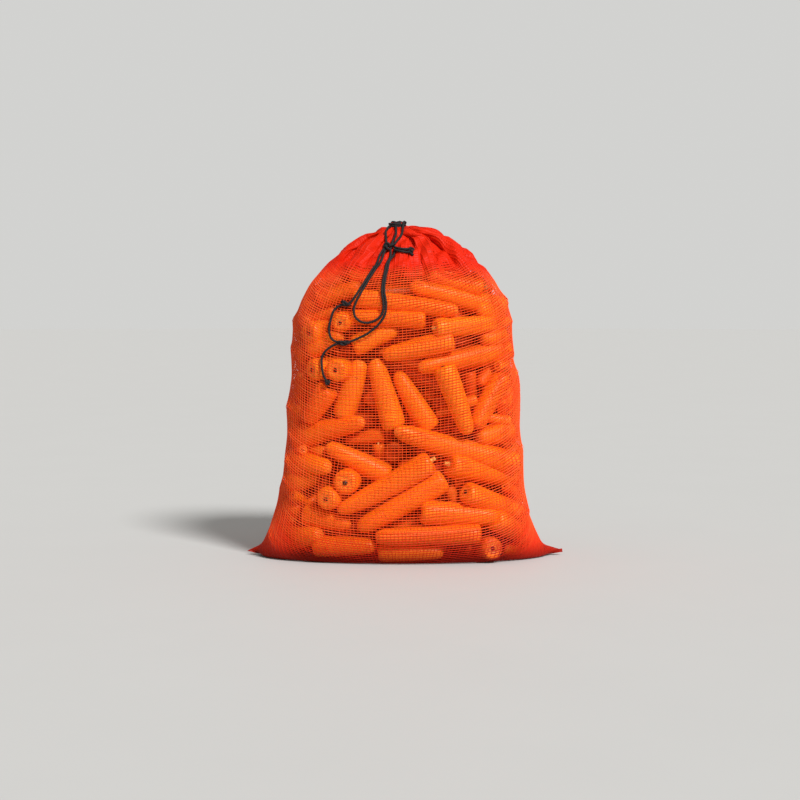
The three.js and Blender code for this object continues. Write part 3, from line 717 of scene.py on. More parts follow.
def make_carrots(name, size, crop, first, last, sides, material):
    """One piece of the carrots numbered from first up to last."""
    front, _, heap = heap_of_carrots(size, crop)
    bows = carrot_bows(size, crop)
    shape = SackShape(size)
    crown_shares, crown_places = np.array(CROWN_OUTLINE).T
    body = np.concatenate([np.linspace(BODY_START, 0.9, 3 * sides // 2 - 6), TIP_STEPS])
    bm, ring, angle = carrot_form(sides, len(CROWN_OUTLINE) + len(body) + 3)
    c, s = np.cos(angle)[:, None], np.sin(angle)[:, None]
    places = []
    stores = {key: [] for key in ("skin_place", "length_share", "heart", "tint", "fresh", "inside")}
    for k in range(first, last):
        rng = drawn_from("skin", k)
        crown, tip, radius = heap.crown[k], heap.tip[k], heap.diameter[k] / 2
        reach = np.linalg.norm(tip - crown)
        green = rng.random() < 0.15 if k >= front else k in FRESH_STEMS
        stub = rng.uniform(0.3, 0.5) if green else rng.uniform(-0.05, 0.1)
        shares = np.concatenate([[0, 0.15], crown_shares, body_share(body, k), [0]])
        along = np.concatenate([[-stub, -stub], crown_places, body * reach / radius, [reach / radius]]) * radius
        t = np.clip(along / reach, 0, 1)
        way = unit(tip - crown + bows[k] * 4 * (1 - 2 * t)[:, None])
        centre = axis_points(crown, tip, bows[k], t) + np.minimum(along, 0)[:, None] * way
        u, v = cross_ways(way)
        turn = rng.uniform(0, 6.3, 6)
        swell = 0.015 * np.sin(2 * angle + turn[0]) + 0.008 * np.sin(3 * angle + turn[1])
        swell += 0.014 * np.sin(along[ring] / 0.02 + turn[2] + np.sin(angle + turn[3]))
        dents = np.clip(np.sin(along[ring] / 0.0042 + 1.3 * np.sin(angle + turn[4])) - 0.4, 0, 1)
        dents *= (0.5 + 0.5 * np.sin(angle + along[ring] / 0.011 + turn[5])) * smooth_step(0.05, 0.2, t[ring])
        r = shares[ring] * radius * (1 + swell - 0.012 * dents)
        skin = centre[ring] + r[:, None] * (c * u[ring] + s * v[ring])
        places.append(skin)
        unrolled = np.stack([r * c[:, 0], r * s[:, 0], along[ring]], axis=-1)
        stores["skin_place"].append(unrolled + rng.uniform(-5, 5, 3))
        stores["length_share"].append(along[ring] / reach)
        stores["heart"].append(np.interp(shares[ring], [0.1, 0.8], [1, 0]) * (along[ring] < 0.3 * radius))
        stores["tint"].append(np.full(len(ring), rng.uniform(0, 1)))
        stores["fresh"].append(np.full(len(ring), float(green)))
        # Painted shade mask: darker for carrots deep under the form and, more softly, towards the floor.
        low = 0.42 * (1 - smooth_step(5 * MM, 80 * MM, skin[:, 2]))
        stores["inside"].append(np.maximum(smooth_step(19 * MM, 42 * MM, -shape.outside(skin, 0)), low))
    mesh = from_bmesh(name, bm, np.array(places))
    set_attributes(mesh, {key: np.concatenate(values) for key, values in stores.items()})
    add_piece(name, mesh, material, "net_sack")


def net_guide(shape, net):
    """The net's crossings before carrots press on it: courses by wales, from the seam to the hem."""
    size = shape.size
    fine = np.linspace(math.pi, 3 * math.pi, 7201)
    girth = shape.point(fine, np.full_like(fine, 0.2), 0)
    run = run_along(girth)
    turn = np.arange(net.wales) / net.wales
    angle = np.interp(turn * run[-1], run, fine)
    across = 1 - np.abs(2 * turn - 1)
    from_ear = np.minimum(across, 1 - across) * net.wales / 2
    ear = np.exp(-((from_ear / 2.6) ** 2))
    c, s = np.cos(angle), np.sin(angle)
    lines = [np.stack([size.seam_width * (across - 0.5), 0 * c, 1.0 * MM + 5 * MM * ear], axis=-1)]
    start = 0.8 * MM + 13 * MM * ear
    for z in np.concatenate([np.arange(0, 40, 2), np.arange(40, 330, 5), np.arange(330, 402, 3)]) * MM:
        height = np.maximum(start + (40 * MM - start) * z / (40 * MM), z) if z < 40 * MM else np.full_like(c, z)
        lines.append(shape.point(angle, height, 0))
    neck_start = 0.4065
    puff = (0.5 + 0.5 * c) ** 4
    rim = 0.4045 + 0.0035 * (c + s) + 0.0045 * (0.5 - 0.5 * c) ** 2
    neck = size.mouth_radius
    for radius, z in [
        (26 * MM * (1 + 0.75 * puff), rim - 2.5 * MM),
        (16 * MM * (1 + puff), rim + 0.5 * MM + 2 * MM * (1 - puff)),
        (neck + 3 * MM, neck_start), (neck, neck_start), (neck, size.top - 4.5 * MM),
        (neck + 0.6 * MM, size.top - 2.4 * MM),
    ]:
        lines.append(np.stack([size.mouth_x + radius * c, size.mouth_y + radius * s, z + 0 * c], axis=-1))
    lines = np.array(lines)
    steps = np.linalg.norm(np.diff(lines, axis=0), axis=-1)
    travel = np.concatenate([np.zeros((1, net.wales)), np.cumsum(steps, axis=0)])
    grid = np.empty((net.courses, net.wales, 3))
    for i in range(net.wales):
        at = np.linspace(0, travel[-1, i], net.courses)
        for axis in range(3):
            grid[:, i, axis] = np.interp(at, travel[:, i], lines[:, i, axis])
    near_mouth = smooth_step(0.385, 0.4, grid[1:-1, :, 2])[..., None]
    for k in range(8):
        soft = 0.5 * grid[1:-1] + 0.25 * (grid[:-2] + grid[2:])
        grid[1:-1] = soft if k < 3 else between(grid[1:-1], soft, near_mouth)
    return grid, angle


def grid_ways(grid):
    """Ways along the courses, along the wales and out of the net at each crossing."""
    level = unit(np.roll(grid, -1, axis=1) - np.roll(grid, 1, axis=1))
    up = unit(np.gradient(grid, axis=0))
    return level, up, unit(np.cross(level, up))


def carrot_limits(grid, out, size, crop):
    """How far out the net has to lie at each crossing to clear the carrots."""
    _, _, heap = heap_of_carrots(size, crop)
    bows = carrot_bows(size, crop)
    limit = np.full(grid.shape[:2], -1.0)
    t = np.linspace(0.015, 0.985, 30)
    turn = np.linspace(0, 2 * math.pi, 12, endpoint=False)
    rim = np.stack([np.cos(turn), np.sin(turn)], axis=-1)
    for k in range(len(heap.diameter)):
        radius = heap.diameter[k] / 2
        axis = heap.tip[k] - heap.crown[k]
        from_crown = t * np.linalg.norm(axis)
        centres = [axis_points(heap.crown[k], heap.tip[k], bows[k], t)]
        body = 1.03 * radius * np.where(t < BODY_START, 1, body_share(t, k))
        radii = [np.minimum(body, from_crown + 0.5 * MM)]
        sideways = rim @ np.concatenate(cross_ways(unit(axis)[None]))
        for place, offset, ball in RIM_BALLS:
            centres.append(heap.crown[k] + radius * (place * unit(axis) + offset * sideways))
            radii.append(np.full(len(rim), ball * radius))
        centres, radii = np.concatenate(centres), np.concatenate(radii)
        reach = np.linalg.norm(axis) / 2 + heap.diameter[k] + 30 * MM
        close = np.linalg.norm(grid - centres.mean(0), axis=-1) < reach
        away = centres - grid[close][:, None]
        along = (away * out[close][:, None]).sum(-1)
        spare = radii ** 2 - ((away ** 2).sum(-1) - along ** 2)
        far = np.where(spare > 0, along + np.sqrt(np.maximum(spare, 0)), -1.0)
        limit[close] = np.maximum(limit[close], far.max(1))
    return limit


@lru_cache(maxsize=2)
def net_crossings(size, crop, net):
    """The places of the net's crossings, drawn tight over the carrots and pleated to the mouth."""
    shape = SackShape(size)
    grid, angle = net_guide(shape, net)
    level, up, out = grid_ways(grid)
    z = grid[..., 2]
    side = smooth_step(0.75, 0.96, np.abs(np.cos(angle)))
    body = (1 - smooth_step(0.305, 0.345, z)) * smooth_step(2 * MM, 22 * MM, z)
    slack = -body * between(net.slack, net.side_slack, side)
    spare = net.clearance + 4.5 * MM * smooth_step(0.335, 0.37, z)
    pressed = np.where(z < 0.395, carrot_limits(grid, out, size, crop) + spare, -1)
    limit = np.maximum(slack, pressed)
    lift = limit.copy()
    free = (z > 1.5 * MM) & (z < 0.395)
    for _ in range(160):
        above = np.concatenate([lift[1:], lift[-1:]])
        below = np.concatenate([lift[:1], lift[:-1]])
        mean = (np.roll(lift, 1, axis=1) + np.roll(lift, -1, axis=1) + above + below) / 4
        lift = np.where(free, np.maximum(limit, 0.4 * lift + 0.6 * mean), lift)
    radius = np.hypot(grid[..., 0] - size.mouth_x, grid[..., 1] - size.mouth_y)
    off_mouth = smooth_step(7 * MM, 20 * MM, radius)
    drift = 0.8 * np.sin(2 * angle + 0.6) + 0.7 * np.sin(5 * angle) + 9 * (z - 0.37) * np.sin(3 * angle + 1)
    wave = 0.5 - 0.5 * np.cos(net.pleats * angle + drift)
    gather = smooth_step(0.32, 0.4, z) * off_mouth
    uneven = 1 + 0.45 * np.sin(4 * angle + 0.7) * np.sin(9 * angle)
    lift = np.maximum(lift - gather * radius * net.pleat_depth * wave * uneven, pressed)
    fold = net.fold_depth * uneven * smooth_step(0.335, 0.39, z) * off_mouth
    phase = 2 * net.pleats * angle + 1.3 * drift
    grid = grid + lift[..., None] * out + (fold * np.sin(phase))[..., None] * level
    grid = grid + (0.3 * fold * (np.sin(phase + 1.1) - 0.3))[..., None] * out
    rng = drawn_from("crumples")
    crumple = 0 * z
    waves = 8
    for around, along, turn in zip(rng.integers(7, 27, waves), rng.uniform(-330, 330, waves),
                                   rng.uniform(0, 6.3, waves)):
        crumple += np.sin(around * angle + along * z + turn)
    crumple = np.clip(1.5 * MM * crumple, -4 * MM, 2.5 * MM) * smooth_step(0.345, 0.385, z)
    grid = grid + (crumple * off_mouth)[..., None] * out
    loose = smooth_step(0.0, 8 * MM, z)
    for way, spread in ((level, 0.22 * MM), (up, 0.12 * MM)):
        grid = grid + (loose * rng.normal(0, spread, z.shape))[..., None] * way
    grid[..., 2] = np.maximum(grid[..., 2], 0.5 * MM)
    return grid


def thread_spread(grid):
    """How much wider threads look where the net lies in folds: at mouth, shoulders, ears and foot."""
    x, z = np.abs(grid[..., 0]), grid[..., 2]
    part = x / x.max(axis=1, keepdims=True)
    mouth = 1.1 * smooth_step(0.332, 0.358, z) + 1.9 * smooth_step(0.350, 0.376, z)
    edge = smooth_step(0.74, 0.96, part) * between(0.9, 1.3, smooth_step(0.27, 0.33, z))
    foot = 0.25 + 0.65 * smooth_step(0.125, 0.16, x)
    foot = foot * (1 - smooth_step(0.03, 0.07, z))
    ear = 0.9 * smooth_step(0.15, 0.185, x)
    return 1 + mouth + edge * (1 - smooth_step(0.35, 0.385, z)) + np.maximum(foot, ear)


def fold_colour_and_foot_shade(z):
    """How much the threads take the deeper red, by height: for net in folds at the mouth, and as painted shade
    near the floor.
    """
    return 0.95 * smooth_step(0.336, 0.366, z) + 0.85 * (1 - smooth_step(6 * MM, 58 * MM, z))


def painted_foot_shade(z):
    """Painted shade: how dark the threads are made towards the floor."""
    return 0.75 * (1 - smooth_step(1 * MM, 22 * MM, z)) + 0.15 * (1 - smooth_step(10 * MM, 60 * MM, z))


def add_threads(name, bm, places, rng, material):
    """One piece of threads, whose colours follow their height."""
    copies, corners, _ = places.shape
    z = places[..., 2].ravel()
    mesh = from_bmesh(name, bm, places)
    tint = np.repeat(rng.uniform(0, 1, copies), corners)
    # Painted shade near the floor comes through both the gathered and the foot attributes.
    set_attributes(mesh, {"tint": tint, "gathered": fold_colour_and_foot_shade(z), "foot": painted_foot_shade(z)})
    add_piece(name, mesh, material, "net_sack", smooth=False)


def make_courses(size, crop, net, material):
    """The level threads: flat three-sided rings from the seam to the hem."""
    grid = net_crossings(size, crop, net)
    level, _, out = grid_ways(grid)
    rng = drawn_from("courses")
    width = net.course_width * rng.uniform(0.85, 1.15, (net.courses, 1))
    width = width * rng.uniform(0.85, 1.15, grid.shape[:2]) * thread_spread(grid)
    seam, hem = 1.8, 1.6
    width[:2] *= seam
    width[-2:] *= hem
    bm, step, side = ring_form(3, net.wales)
    across = np.cross(level, out)
    lean = np.array([0.0, 0.5, -0.5])[side]
    rise = np.array([0.7, -0.3, -0.3])[side] * net.thread_height
    places = grid[:, step] + across[:, step] * (width[:, step] * lean)[..., None]
    places = places + out[:, step] * rise[:, None]
    add_threads("net_courses", bm, places, rng, material)


def make_wales(size, crop, net, material):
    """The upright threads: flat three-sided rods from the seam to the hem."""
    grid = net_crossings(size, crop, net)
    _, up, out = grid_ways(grid)
    rng = drawn_from("wales")
    width = net.wale_width * rng.uniform(0.8, 1.2, (1, net.wales))
    width = width * rng.uniform(0.85, 1.15, grid.shape[:2]) * thread_spread(grid)
    bm, step, side = rod_form(3, net.courses)
    across = np.cross(up, out)
    lean = np.array([0.0, 0.5, -0.5])[side]
    rise = (np.array([0.8, -0.2, -0.2])[side] + 0.25) * net.thread_height
    places = grid[step] + across[step] * (width[step] * lean[:, None])[..., None]
    places = places + out[step] * rise[:, None, None]
    add_threads("net_wales", bm, places.transpose(1, 0, 2), rng, material)


def through(points, spacing):
    """A smooth line through points, as points at even steps."""
    points = np.asarray(points, float)
    padded = np.vstack([2 * points[0] - points[1], points, 2 * points[-1] - points[-2]])
    line = []
    for a, b, c, d in zip(padded, padded[1:], padded[2:], padded[3:]):
        for t in np.linspace(0, 1, 16, endpoint=False):
            bent = (2 * a - 5 * b + 4 * c - d) * t ** 2 + (3 * b - a - 3 * c + d) * t ** 3
            line.append(0.5 * (2 * b + (c - a) * t + bent))
    line = np.vstack([line, points[-1]])
    run = run_along(line)
    at = np.linspace(0, run[-1], max(4, round(run[-1] / spacing)))
    return np.stack([np.interp(at, run, line[:, k]) for k in range(line.shape[1])], axis=-1)


def on_net(route, grid, off):
    """Points over the front of the net at the x and z of a route, off from the threads."""
    _, _, out = grid_ways(grid)
    front = grid[:, : grid.shape[1] // 2].reshape(-1, 3)
    ways = out[:, : grid.shape[1] // 2].reshape(-1, 3)
    keep = (front[:, 2] > 0.15) & (ways[:, 1] < -0.05)
    front, ways = front[keep], ways[keep]
    line = []
    for x, z in route:
        gap = np.hypot(front[:, 0] - x, front[:, 2] - z)
        nearest = np.argsort(gap)[:8]
        weight = 1 / (gap[nearest] + 0.8 * MM) ** 2
        weight /= weight.sum()
        way = unit(weight @ ways[nearest])
        place = np.array([x, weight @ front[nearest, 1], z])
        rise = ((front[gap < 4.5 * MM] - place) @ way).max(initial=0)
        line.append(place + (off + min(rise, 10 * MM)) * way)
    line = np.array(line)
    for _ in range(5):
        line[1:-1] = 0.5 * line[1:-1] + 0.25 * (line[:-2] + line[2:])
    return line


def over_net(points, grid, off):
    """Points near the mouth, lifted clear of the threads under them."""
    below = grid[(grid[..., 2] > 0.38) & (grid[..., 2] < 0.408)]
    near = np.linalg.norm(points[:, None, :2] - below[:, :2], axis=-1) < 4 * MM
    high = np.where(near, below[:, 2], 0).max(1)
    return np.column_stack([points[:, :2], np.maximum(points[:, 2], high + off)])


def twisted_places(line, cord, step, side, sides):
    """Vertices of a twisted cord that follows a line."""
    way = unit(np.gradient(line, axis=0))
    u, v = cross_ways(way)
    run = run_along(line)
    angle = 2 * math.pi * side / sides
    twist = 2 * math.pi * run[step] / cord.lay
    lobe = np.abs(np.cos(0.5 * cord.strands * (angle - twist)))
    radius = cord.diameter / 2 * (0.78 + 0.24 * lobe)
    return line[step] + radius[:, None] * (np.cos(angle)[:, None] * u[step] + np.sin(angle)[:, None] * v[step])


def cord_piece(name, lines, cord, material):
    """One piece of twisted cords along lines."""
    sides = 5 * cord.strands
    bm = bmesh.new()
    for line in lines:
        rod, step, side = rod_form(sides, len(line))
        for v, place in zip(rod.verts, twisted_places(line, cord, step, side, sides)):
            v.co = place
        part = bpy.data.meshes.new(name)
        rod.to_mesh(part)
        rod.free()
        bm.from_mesh(part)
        bpy.data.meshes.remove(part)
    mesh = bpy.data.meshes.new(name)
    bm.to_mesh(mesh)
    bm.free()
    return add_piece(name, mesh, material, "drawstring")


def scaled(route):
    return [(x * MM, z * MM) for x, z in route]


def knot_line(centre, right, up, out, reach):
    """The line of a cord pulled into a knot, with its reach in millimetres."""
    t = np.linspace(0.1, 2 * math.pi - 0.1, 90)
    x = (np.sin(t) + 2 * np.sin(2 * t)) / 3 * reach[0] * MM
    y = (np.cos(t) - 2 * np.cos(2 * t)) / 3 * reach[1] * MM
    w = -np.sin(3 * t) * reach[2] * MM
    return centre + x[:, None] * right + y[:, None] * up + w[:, None] * out


def knot_at(key, grid, lean=0.0):
    """A knot's line on the front of the net."""
    place, reach, lift = KNOTS[key]
    route = scaled([place])
    centre = on_net(route, grid, lift * MM)[0]
    out = unit(centre - on_net(route, grid, 0)[0])
    right = unit(np.cross([math.sin(lean), 0.0, math.cos(lean)], out) * -1)
    return knot_line(centre, right, np.cross(out, right) * -1, out, reach)


def stand_off(cord):
    """How far the middle of the drawstring lies off the threads under it."""
    return cord.diameter / 2 + 0.7 * MM


def front_line(route, grid, cord):
    """A route of the drawstring laid on the front of the net."""
    return on_net(through(scaled(route), CORD_STEP), grid, stand_off(cord))


def middle_line(size, grid, cord):
    """The strand that goes straight up from the knot to the mouth."""
    end = (size.mouth_x - 2 * MM, size.mouth_y - size.mouth_radius - 2.2 * MM, size.mouth_height)
    return through(np.vstack([on_net(scaled(STRAND_MIDDLE), grid, stand_off(cord)), end]), CORD_STEP)


def tuft_lines(size):
    """The tuft over the mouth: a knot and short ends that lean out of it."""
    middle = np.array([size.mouth_x, size.mouth_y - 1 * MM, size.top - 0.6 * MM])
    right, back, up = np.eye(3)
    lines = [knot_line(middle, right, back, up, (7.5, 6.5, 1.6))]
    for turn, out, rise in FRINGE:
        way = outward(math.radians(turn))
        start = middle + 4.5 * MM * way - 1.5 * MM * up
        bend = start + out * MM * way + 0.6 * rise * MM * up
        end = bend + 0.4 * rise * MM * up - 0.3 * out * MM * way
        lines.append(through([start, bend, end], 0.8 * MM))
    return lines


def mouth_line(size, grid, cord):
    """The drawstring from the knot up to the mouth, nearly three times round it and back to the knot."""
    ring = []
    radius = size.mouth_radius + cord.diameter / 2 + 0.3 * MM
    for share_round in np.linspace(0, 1, 41):
        angle = math.radians(MOUTH_START - MOUTH_TURN * share_round)
        wobble = 0.5 * MM * math.sin(5.3 * angle)
        ring.append((size.mouth_x + (radius + wobble) * math.cos(angle),
                     size.mouth_y + (radius + wobble) * math.sin(angle),
                     size.mouth_height - 3 * MM + 7.2 * MM * share_round))
    off = stand_off(cord)
    up = on_net(scaled(STRAND_UP), grid, off)
    up = np.vstack([up, over_net(np.linspace(up[-1], ring[0], 5)[1:-1], grid, off)])
    down = on_net(scaled(STRAND_DOWN), grid, off)
    return through(np.vstack([up, ring, down]), CORD_STEP)


def set_inputs(tree, made, inputs):
    """Gives a node its inputs, which are numbers, colours or other nodes' outputs."""
    for key, value in inputs.items():
        if isinstance(value, bpy.types.NodeSocket):
            tree.links.new(value, made.inputs[key])
        else:
            made.inputs[key].default_value = value


def node(tree, kind, inputs=None, **values):
    """A new node with its values and its inputs."""
    made = tree.nodes.new(kind)
    for key, value in values.items():
        setattr(made, key, value)
    set_inputs(tree, made, inputs or {})
    return made


def mixed(tree, factor, first, second):
    """The output of a colour mix."""
    first, second = (tone if isinstance(tone, bpy.types.NodeSocket) else (*tone, 1) for tone in (first, second))
    return node(tree, "ShaderNodeMix", {0: factor, 6: first, 7: second}, data_type="RGBA").outputs[2]


def darker(tone, part):
    """A colour of which only a part is left."""
    return tuple(part * value for value in tone)


def mapped(tree, value, low, high, to_low=0.0, to_high=1.0):
    """A value mapped from one range to another."""
    return node(tree, "ShaderNodeMapRange", {"Value": value, "From Min": low, "From Max": high,
                                             "To Min": to_low, "To Max": to_high}).outputs[0]


def fine_grain():
    """The node group of fine uneven grain that every material shares."""
    group = bpy.data.node_groups.get("fine_grain")
    if group:
        return group
    group = bpy.data.node_groups.new("fine_grain", "ShaderNodeTree")
    group.interface.new_socket("Place", in_out="INPUT", socket_type="NodeSocketVector")
    for name in ("Size", "Low", "High"):
        group.interface.new_socket(name, in_out="INPUT", socket_type="NodeSocketFloat")
    group.interface.new_socket("Mask", in_out="OUTPUT", socket_type="NodeSocketFloat")
    start = group.nodes.new("NodeGroupInput")
    end = group.nodes.new("NodeGroupOutput")
    noise = node(group, "ShaderNodeTexNoise", {"Vector": start.outputs["Place"], "Scale": start.outputs["Size"],
                                               "Detail": 3.0, "Roughness": 0.6})
    mask = node(group, "ShaderNodeMapRange", {"Value": noise.outputs["Fac"], "From Min": start.outputs["Low"],
                                              "From Max": start.outputs["High"]})
    group.links.new(mask.outputs[0], end.inputs["Mask"])
    return group


def grain(tree, place, size, low=0.3, high=0.7):
    """A mask of fine grain at a place."""
    inputs = {"Place": place, "Size": size, "Low": low, "High": high}
    return node(tree, "ShaderNodeGroup", inputs, node_tree=fine_grain()).outputs["Mask"]


def new_material(name):
    """A new material with its tree and its shader."""
    material = bpy.data.materials.new(name)
    material.use_nodes = True
    tree = material.node_tree
    return material, tree, tree.nodes["Principled BSDF"]


def stored(tree, name, output="Fac"):
    return node(tree, "ShaderNodeAttribute", attribute_name=name).outputs[output]


def stretched(tree, place, scale):
    return node(tree, "ShaderNodeMapping", {"Vector": place, "Scale": scale}).outputs[0]


def times(tree, first, second):
    return node(tree, "ShaderNodeMath", {0: first, 1: second}, operation="MULTIPLY").outputs[0]


def carrot_skin(crop):
    """Washed carrot skin: orange with streaks, short creases round it, a dark heart and a pale tip."""
    material, tree, shader = new_material("carrot_skin")
    place = stored(tree, "skin_place", "Vector")
    streaks = grain(tree, stretched(tree, place, (110, 110, 9)), 1.0, 0.3, 0.7)
    lines = grain(tree, stretched(tree, place, (38, 38, 640)), 1.0, 0.56, 0.68)
    patches = grain(tree, place, 60.0, 0.42, 0.58)
    share_along = stored(tree, "length_share")
    creases = times(tree, times(tree, lines, patches), mapped(tree, share_along, 0.06, 0.16))
    skin = mixed(tree, stored(tree, "tint"), crop.deep_orange, crop.light_orange)
    skin = mixed(tree, mapped(tree, streaks, 0, 1, 0.0, 0.4), skin, crop.light_orange)
    skin = mixed(tree, mapped(tree, creases, 0, 1, 0.0, 0.45), skin, darker(crop.deep_orange, 0.5))
    skin = mixed(tree, mapped(tree, share_along, 0.965, 1.0, 0.0, 0.5), skin, crop.tip)
    inward = stored(tree, "heart")
    skin = mixed(tree, mapped(tree, inward, 0.2, 0.7, 0.0, 0.55), skin, crop.crown)
    heart = mixed(tree, stored(tree, "fresh"), crop.heart, crop.stem)
    skin = mixed(tree, mapped(tree, inward, 0.8, 0.9), skin, heart)
    # Painted shade: carrots deep in the sack and near the floor turn dark red.
    skin = mixed(tree, mapped(tree, stored(tree, "inside"), 0, 1, 0.0, 0.7), skin, crop.deep_inside)
    roughness = mapped(tree, grain(tree, place, 300.0), 0, 1, 0.34, 0.5)
    height = mapped(tree, creases, 0, 1, 1, 0)
    bump = node(tree, "ShaderNodeBump", {"Strength": 0.5, "Distance": 0.0006, "Height": height}).outputs[0]
    set_inputs(tree, shader, {"Base Color": skin, "Roughness": roughness, "Normal": bump,
                              "Specular IOR Level": 0.22})
    return material


def net_thread(net):
    """Knitted plastic thread: red orange, a little uneven, with a soft shine."""
    material, tree, shader = new_material("net_thread")
    place = node(tree, "ShaderNodeTexCoord").outputs["Object"]
    shade = grain(tree, place, 900.0, 0.3, 0.75)
    tone = mixed(tree, stored(tree, "tint"), net.thread, net.thread_light)
    tone = mixed(tree, mapped(tree, shade, 0, 1, 0, 0.35), tone, darker(net.thread, 0.55))
    # Deeper red in the folds at the mouth, and painted shade near the floor.
    tone = mixed(tree, stored(tree, "gathered"), tone, net.gathered)
    # Painted shade at the foot of the net.
    tone = mixed(tree, stored(tree, "foot"), tone, net.foot)
    roughness = mapped(tree, shade, 0, 1, 0.4, 0.6)
    set_inputs(tree, shader, {"Base Color": tone, "Roughness": roughness, "Specular IOR Level": 0.1})
    return material


def cord_fibre(cord):
    """Twisted black fibre, rubbed grey in places."""
    material, tree, shader = new_material("cord_fibre")
    place = node(tree, "ShaderNodeTexCoord").outputs["Object"]
    worn = grain(tree, place, 420.0, 0.45, 0.8)
    fibres = grain(tree, stretched(tree, place, (1, 1, 0.4)), 3500.0, 0.3, 0.7)
    tone = mixed(tree, mapped(tree, worn, 0, 1, 0, 0.6), cord.black, cord.worn)
    tone = mixed(tree, mapped(tree, fibres, 0, 1, 0, 0.4), tone, cord.worn)
    roughness = mapped(tree, fibres, 0, 1, 0.5, 0.75)
    bump = node(tree, "ShaderNodeBump", {"Strength": 0.6, "Distance": 0.0003, "Height": fibres}).outputs[0]
    set_inputs(tree, shader, {"Base Color": tone, "Roughness": roughness, "Normal": bump,
                              "Specular IOR Level": 0.2})
    return material


def floor_finish(stage):
    """Matt pale floor."""
    material, tree, shader = new_material("pale_floor")
    place = node(tree, "ShaderNodeTexCoord").outputs["Object"]
    shade = grain(tree, place, 6.0)
    tone = mixed(tree, mapped(tree, shade, 0, 1, 0, 0.12), stage.floor, darker(stage.floor, 0.9))
    set_inputs(tree, shader, {"Base Color": tone, "Roughness": 0.7})
    return material


def add_sun(name, place, strength, softness):
    """A soft lamp far away in the direction of a place."""
    data = bpy.data.lights.new(name, "SUN")
    data.energy = strength
    data.angle = math.radians(softness)
    lamp = bpy.data.objects.new(name, data)
    lamp.location = place
    lamp.rotation_euler = (-Vector(place)).to_track_quat("-Z", "Y").to_euler()
    bpy.context.scene.collection.objects.link(lamp)


class SACK_OT_stage(bpy.types.Operator):
    """Set the camera, the floor and soft lamps"""

    bl_idname = "sack.stage"
    bl_label = "Camera, floor and lamps"

    def execute(self, context):
        stage = settings("stage")
        scene = context.scene
        data = bpy.data.cameras.new("camera")
        data.sensor_width = 36
        data.lens = 36 * stage.distance / stage.field
        camera = bpy.data.objects.new("camera", data)
        target = Vector((-0.0069, 0, 0.195))
        back = Vector((0, -math.cos(stage.rise), math.sin(stage.rise)))
        camera.location = target + back * stage.distance
        camera.rotation_euler = (-back).to_track_quat("-Z", "Y").to_euler()
        scene.collection.objects.link(camera)
        scene.camera = camera
        bm = bmesh.new()
        bmesh.ops.create_circle(bm, cap_ends=True, segments=96, radius=14)
        mesh = bpy.data.meshes.new("floor")
        bm.to_mesh(mesh)
        bm.free()
        mesh.materials.append(floor_finish(stage))
        floor = bpy.data.objects.new("floor", mesh)
        scene.collection.objects.link(floor)
        add_sun("key", (0.75, -1.15, 1.15), 4.0, 14)
        world = bpy.data.worlds.new("studio")
        world.use_nodes = True
        tree = world.node_tree
        straight = node(tree, "ShaderNodeLightPath").outputs["Is Camera Ray"]
        strength = mapped(tree, straight, 0, 1, 0.42, 0.68)
        set_inputs(tree, tree.nodes["Background"], {"Color": (0.95, 0.95, 0.93, 1), "Strength": strength})
        scene.world = world
        scene.view_settings.view_transform = "Standard"
        return {"FINISHED"}


class SACK_OT_drawstring(bpy.types.Operator):
    """Lay the drawstring, its knots and its loops on the net"""

    bl_idname = "sack.drawstring"
    bl_label = "Drawstring"

    def execute(self, context):
        size, crop, net, cord = (settings(key) for key in ("sack", "carrots", "net", "cord"))
        grid = net_crossings(size, crop, net)
        fibre = cord_fibre(cord)
        stubs = [front_line(route, grid, cord) for route in STUBS]
        lines = [knot_at("main", grid), *stubs, knot_at("stubs", grid), middle_line(size, grid, cord)]
        lines += tuft_lines(size)
        knot = cord_piece("drawstring_knot", lines, cord, fibre)
        lines = [knot_at("loop", grid), knot_at("hitch", grid, HITCH_LEAN)]
        loop_knot = cord_piece("drawstring_loop_knot", lines, cord, fibre)
        end_knot = cord_piece("drawstring_end_knot", [knot_at("end", grid)], cord, fibre)
        for name, line, far_end, lay, pieces in (
            ("drawstring_mouth", mouth_line(size, grid, cord), "object", "taut", [knot]),
            ("drawstring_short_loop", front_line(SHORT_LOOP, grid, cord), "object", "hanging", []),
            ("drawstring_long_loop", front_line(LONG_LOOP, grid, cord), "object", "hanging", [loop_knot]),
            ("drawstring_tail", front_line(TAIL, grid, cord), "knot", "hanging", [end_knot]),
        ):
            piece = cord_piece(name, [line], cord, fibre)
        return {"FINISHED"}


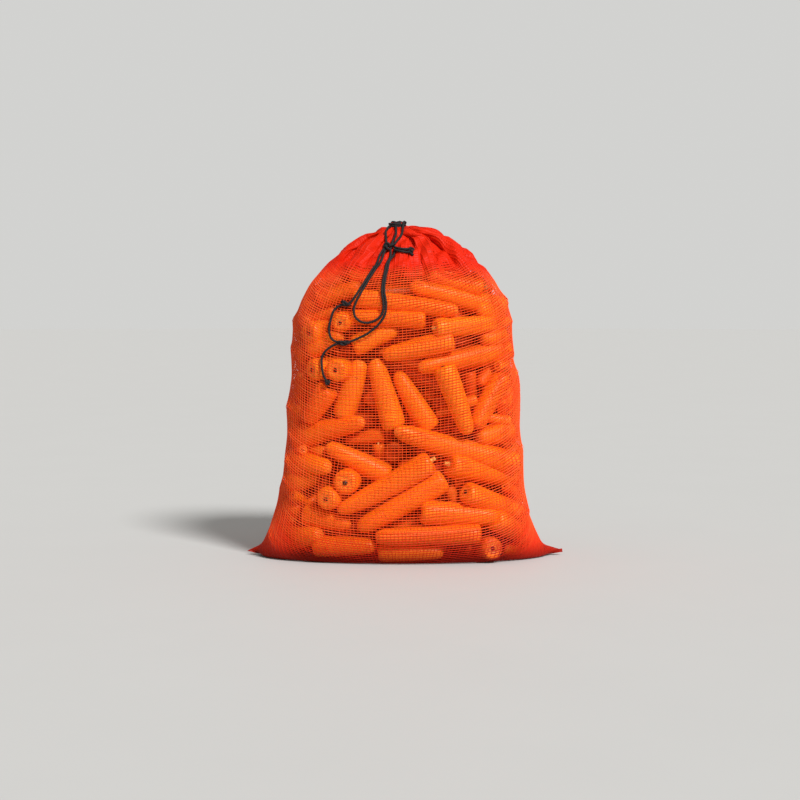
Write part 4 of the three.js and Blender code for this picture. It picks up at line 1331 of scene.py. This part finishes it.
class SACK_OT_carrots(bpy.types.Operator):
    """Fill the sack with carrots"""

    bl_idname = "sack.carrots"
    bl_label = "Carrots"

    def execute(self, context):
        size, crop = settings("sack"), settings("carrots")
        front, outer, heap = heap_of_carrots(size, crop)
        skin = carrot_skin(crop)
        make_carrots("carrots_front", size, crop, 0, front, crop.sides, skin)
        make_carrots("carrots_round", size, crop, front, outer, crop.sides, skin)
        make_carrots("carrots_inner", size, crop, outer, len(heap.diameter), crop.sides // 2, skin)
        return {"FINISHED"}


class SACK_OT_net(bpy.types.Operator):
    """Knit the net over the carrots"""

    bl_idname = "sack.net"
    bl_label = "Net"

    def execute(self, context):
        size, crop, net = settings("sack"), settings("carrots"), settings("net")
        thread = net_thread(net)
        make_courses(size, crop, net, thread)
        make_wales(size, crop, net, thread)
        return {"FINISHED"}


OPERATORS = (SACK_OT_stage, SACK_OT_drawstring, SACK_OT_carrots, SACK_OT_net)


class SACK_PT_panel(bpy.types.Panel):
    """Lists the sack's sizes, colours and pieces"""

    bl_idname = "SACK_PT_panel"
    bl_label = "Sack of carrots"
    bl_space_type = "VIEW_3D"
    bl_region_type = "UI"
    bl_category = "Sack"

    def draw(self, context):
        for operator in OPERATORS:
            self.layout.operator(operator.bl_idname)
        for key, group in GROUPS.items():
            box = self.layout.box()
            box.label(text=key.capitalize())
            for name in group.__annotations__:
                box.prop(getattr(context.scene, PREFIX + key), name)


def register():
    for cls in (*GROUPS.values(), *OPERATORS, SACK_PT_panel):
        bpy.utils.register_class(cls)
    for key, group in GROUPS.items():
        setattr(bpy.types.Scene, PREFIX + key, PointerProperty(type=group))


def unregister():
    for key in GROUPS:
        delattr(bpy.types.Scene, PREFIX + key)
    for cls in reversed((*GROUPS.values(), *OPERATORS, SACK_PT_panel)):
        bpy.utils.unregister_class(cls)


def main():
    register()
    bpy.ops.sack.stage()
    bpy.ops.sack.drawstring()
    bpy.ops.sack.carrots()
    bpy.ops.sack.net()


if __name__ == "__main__":
    main()
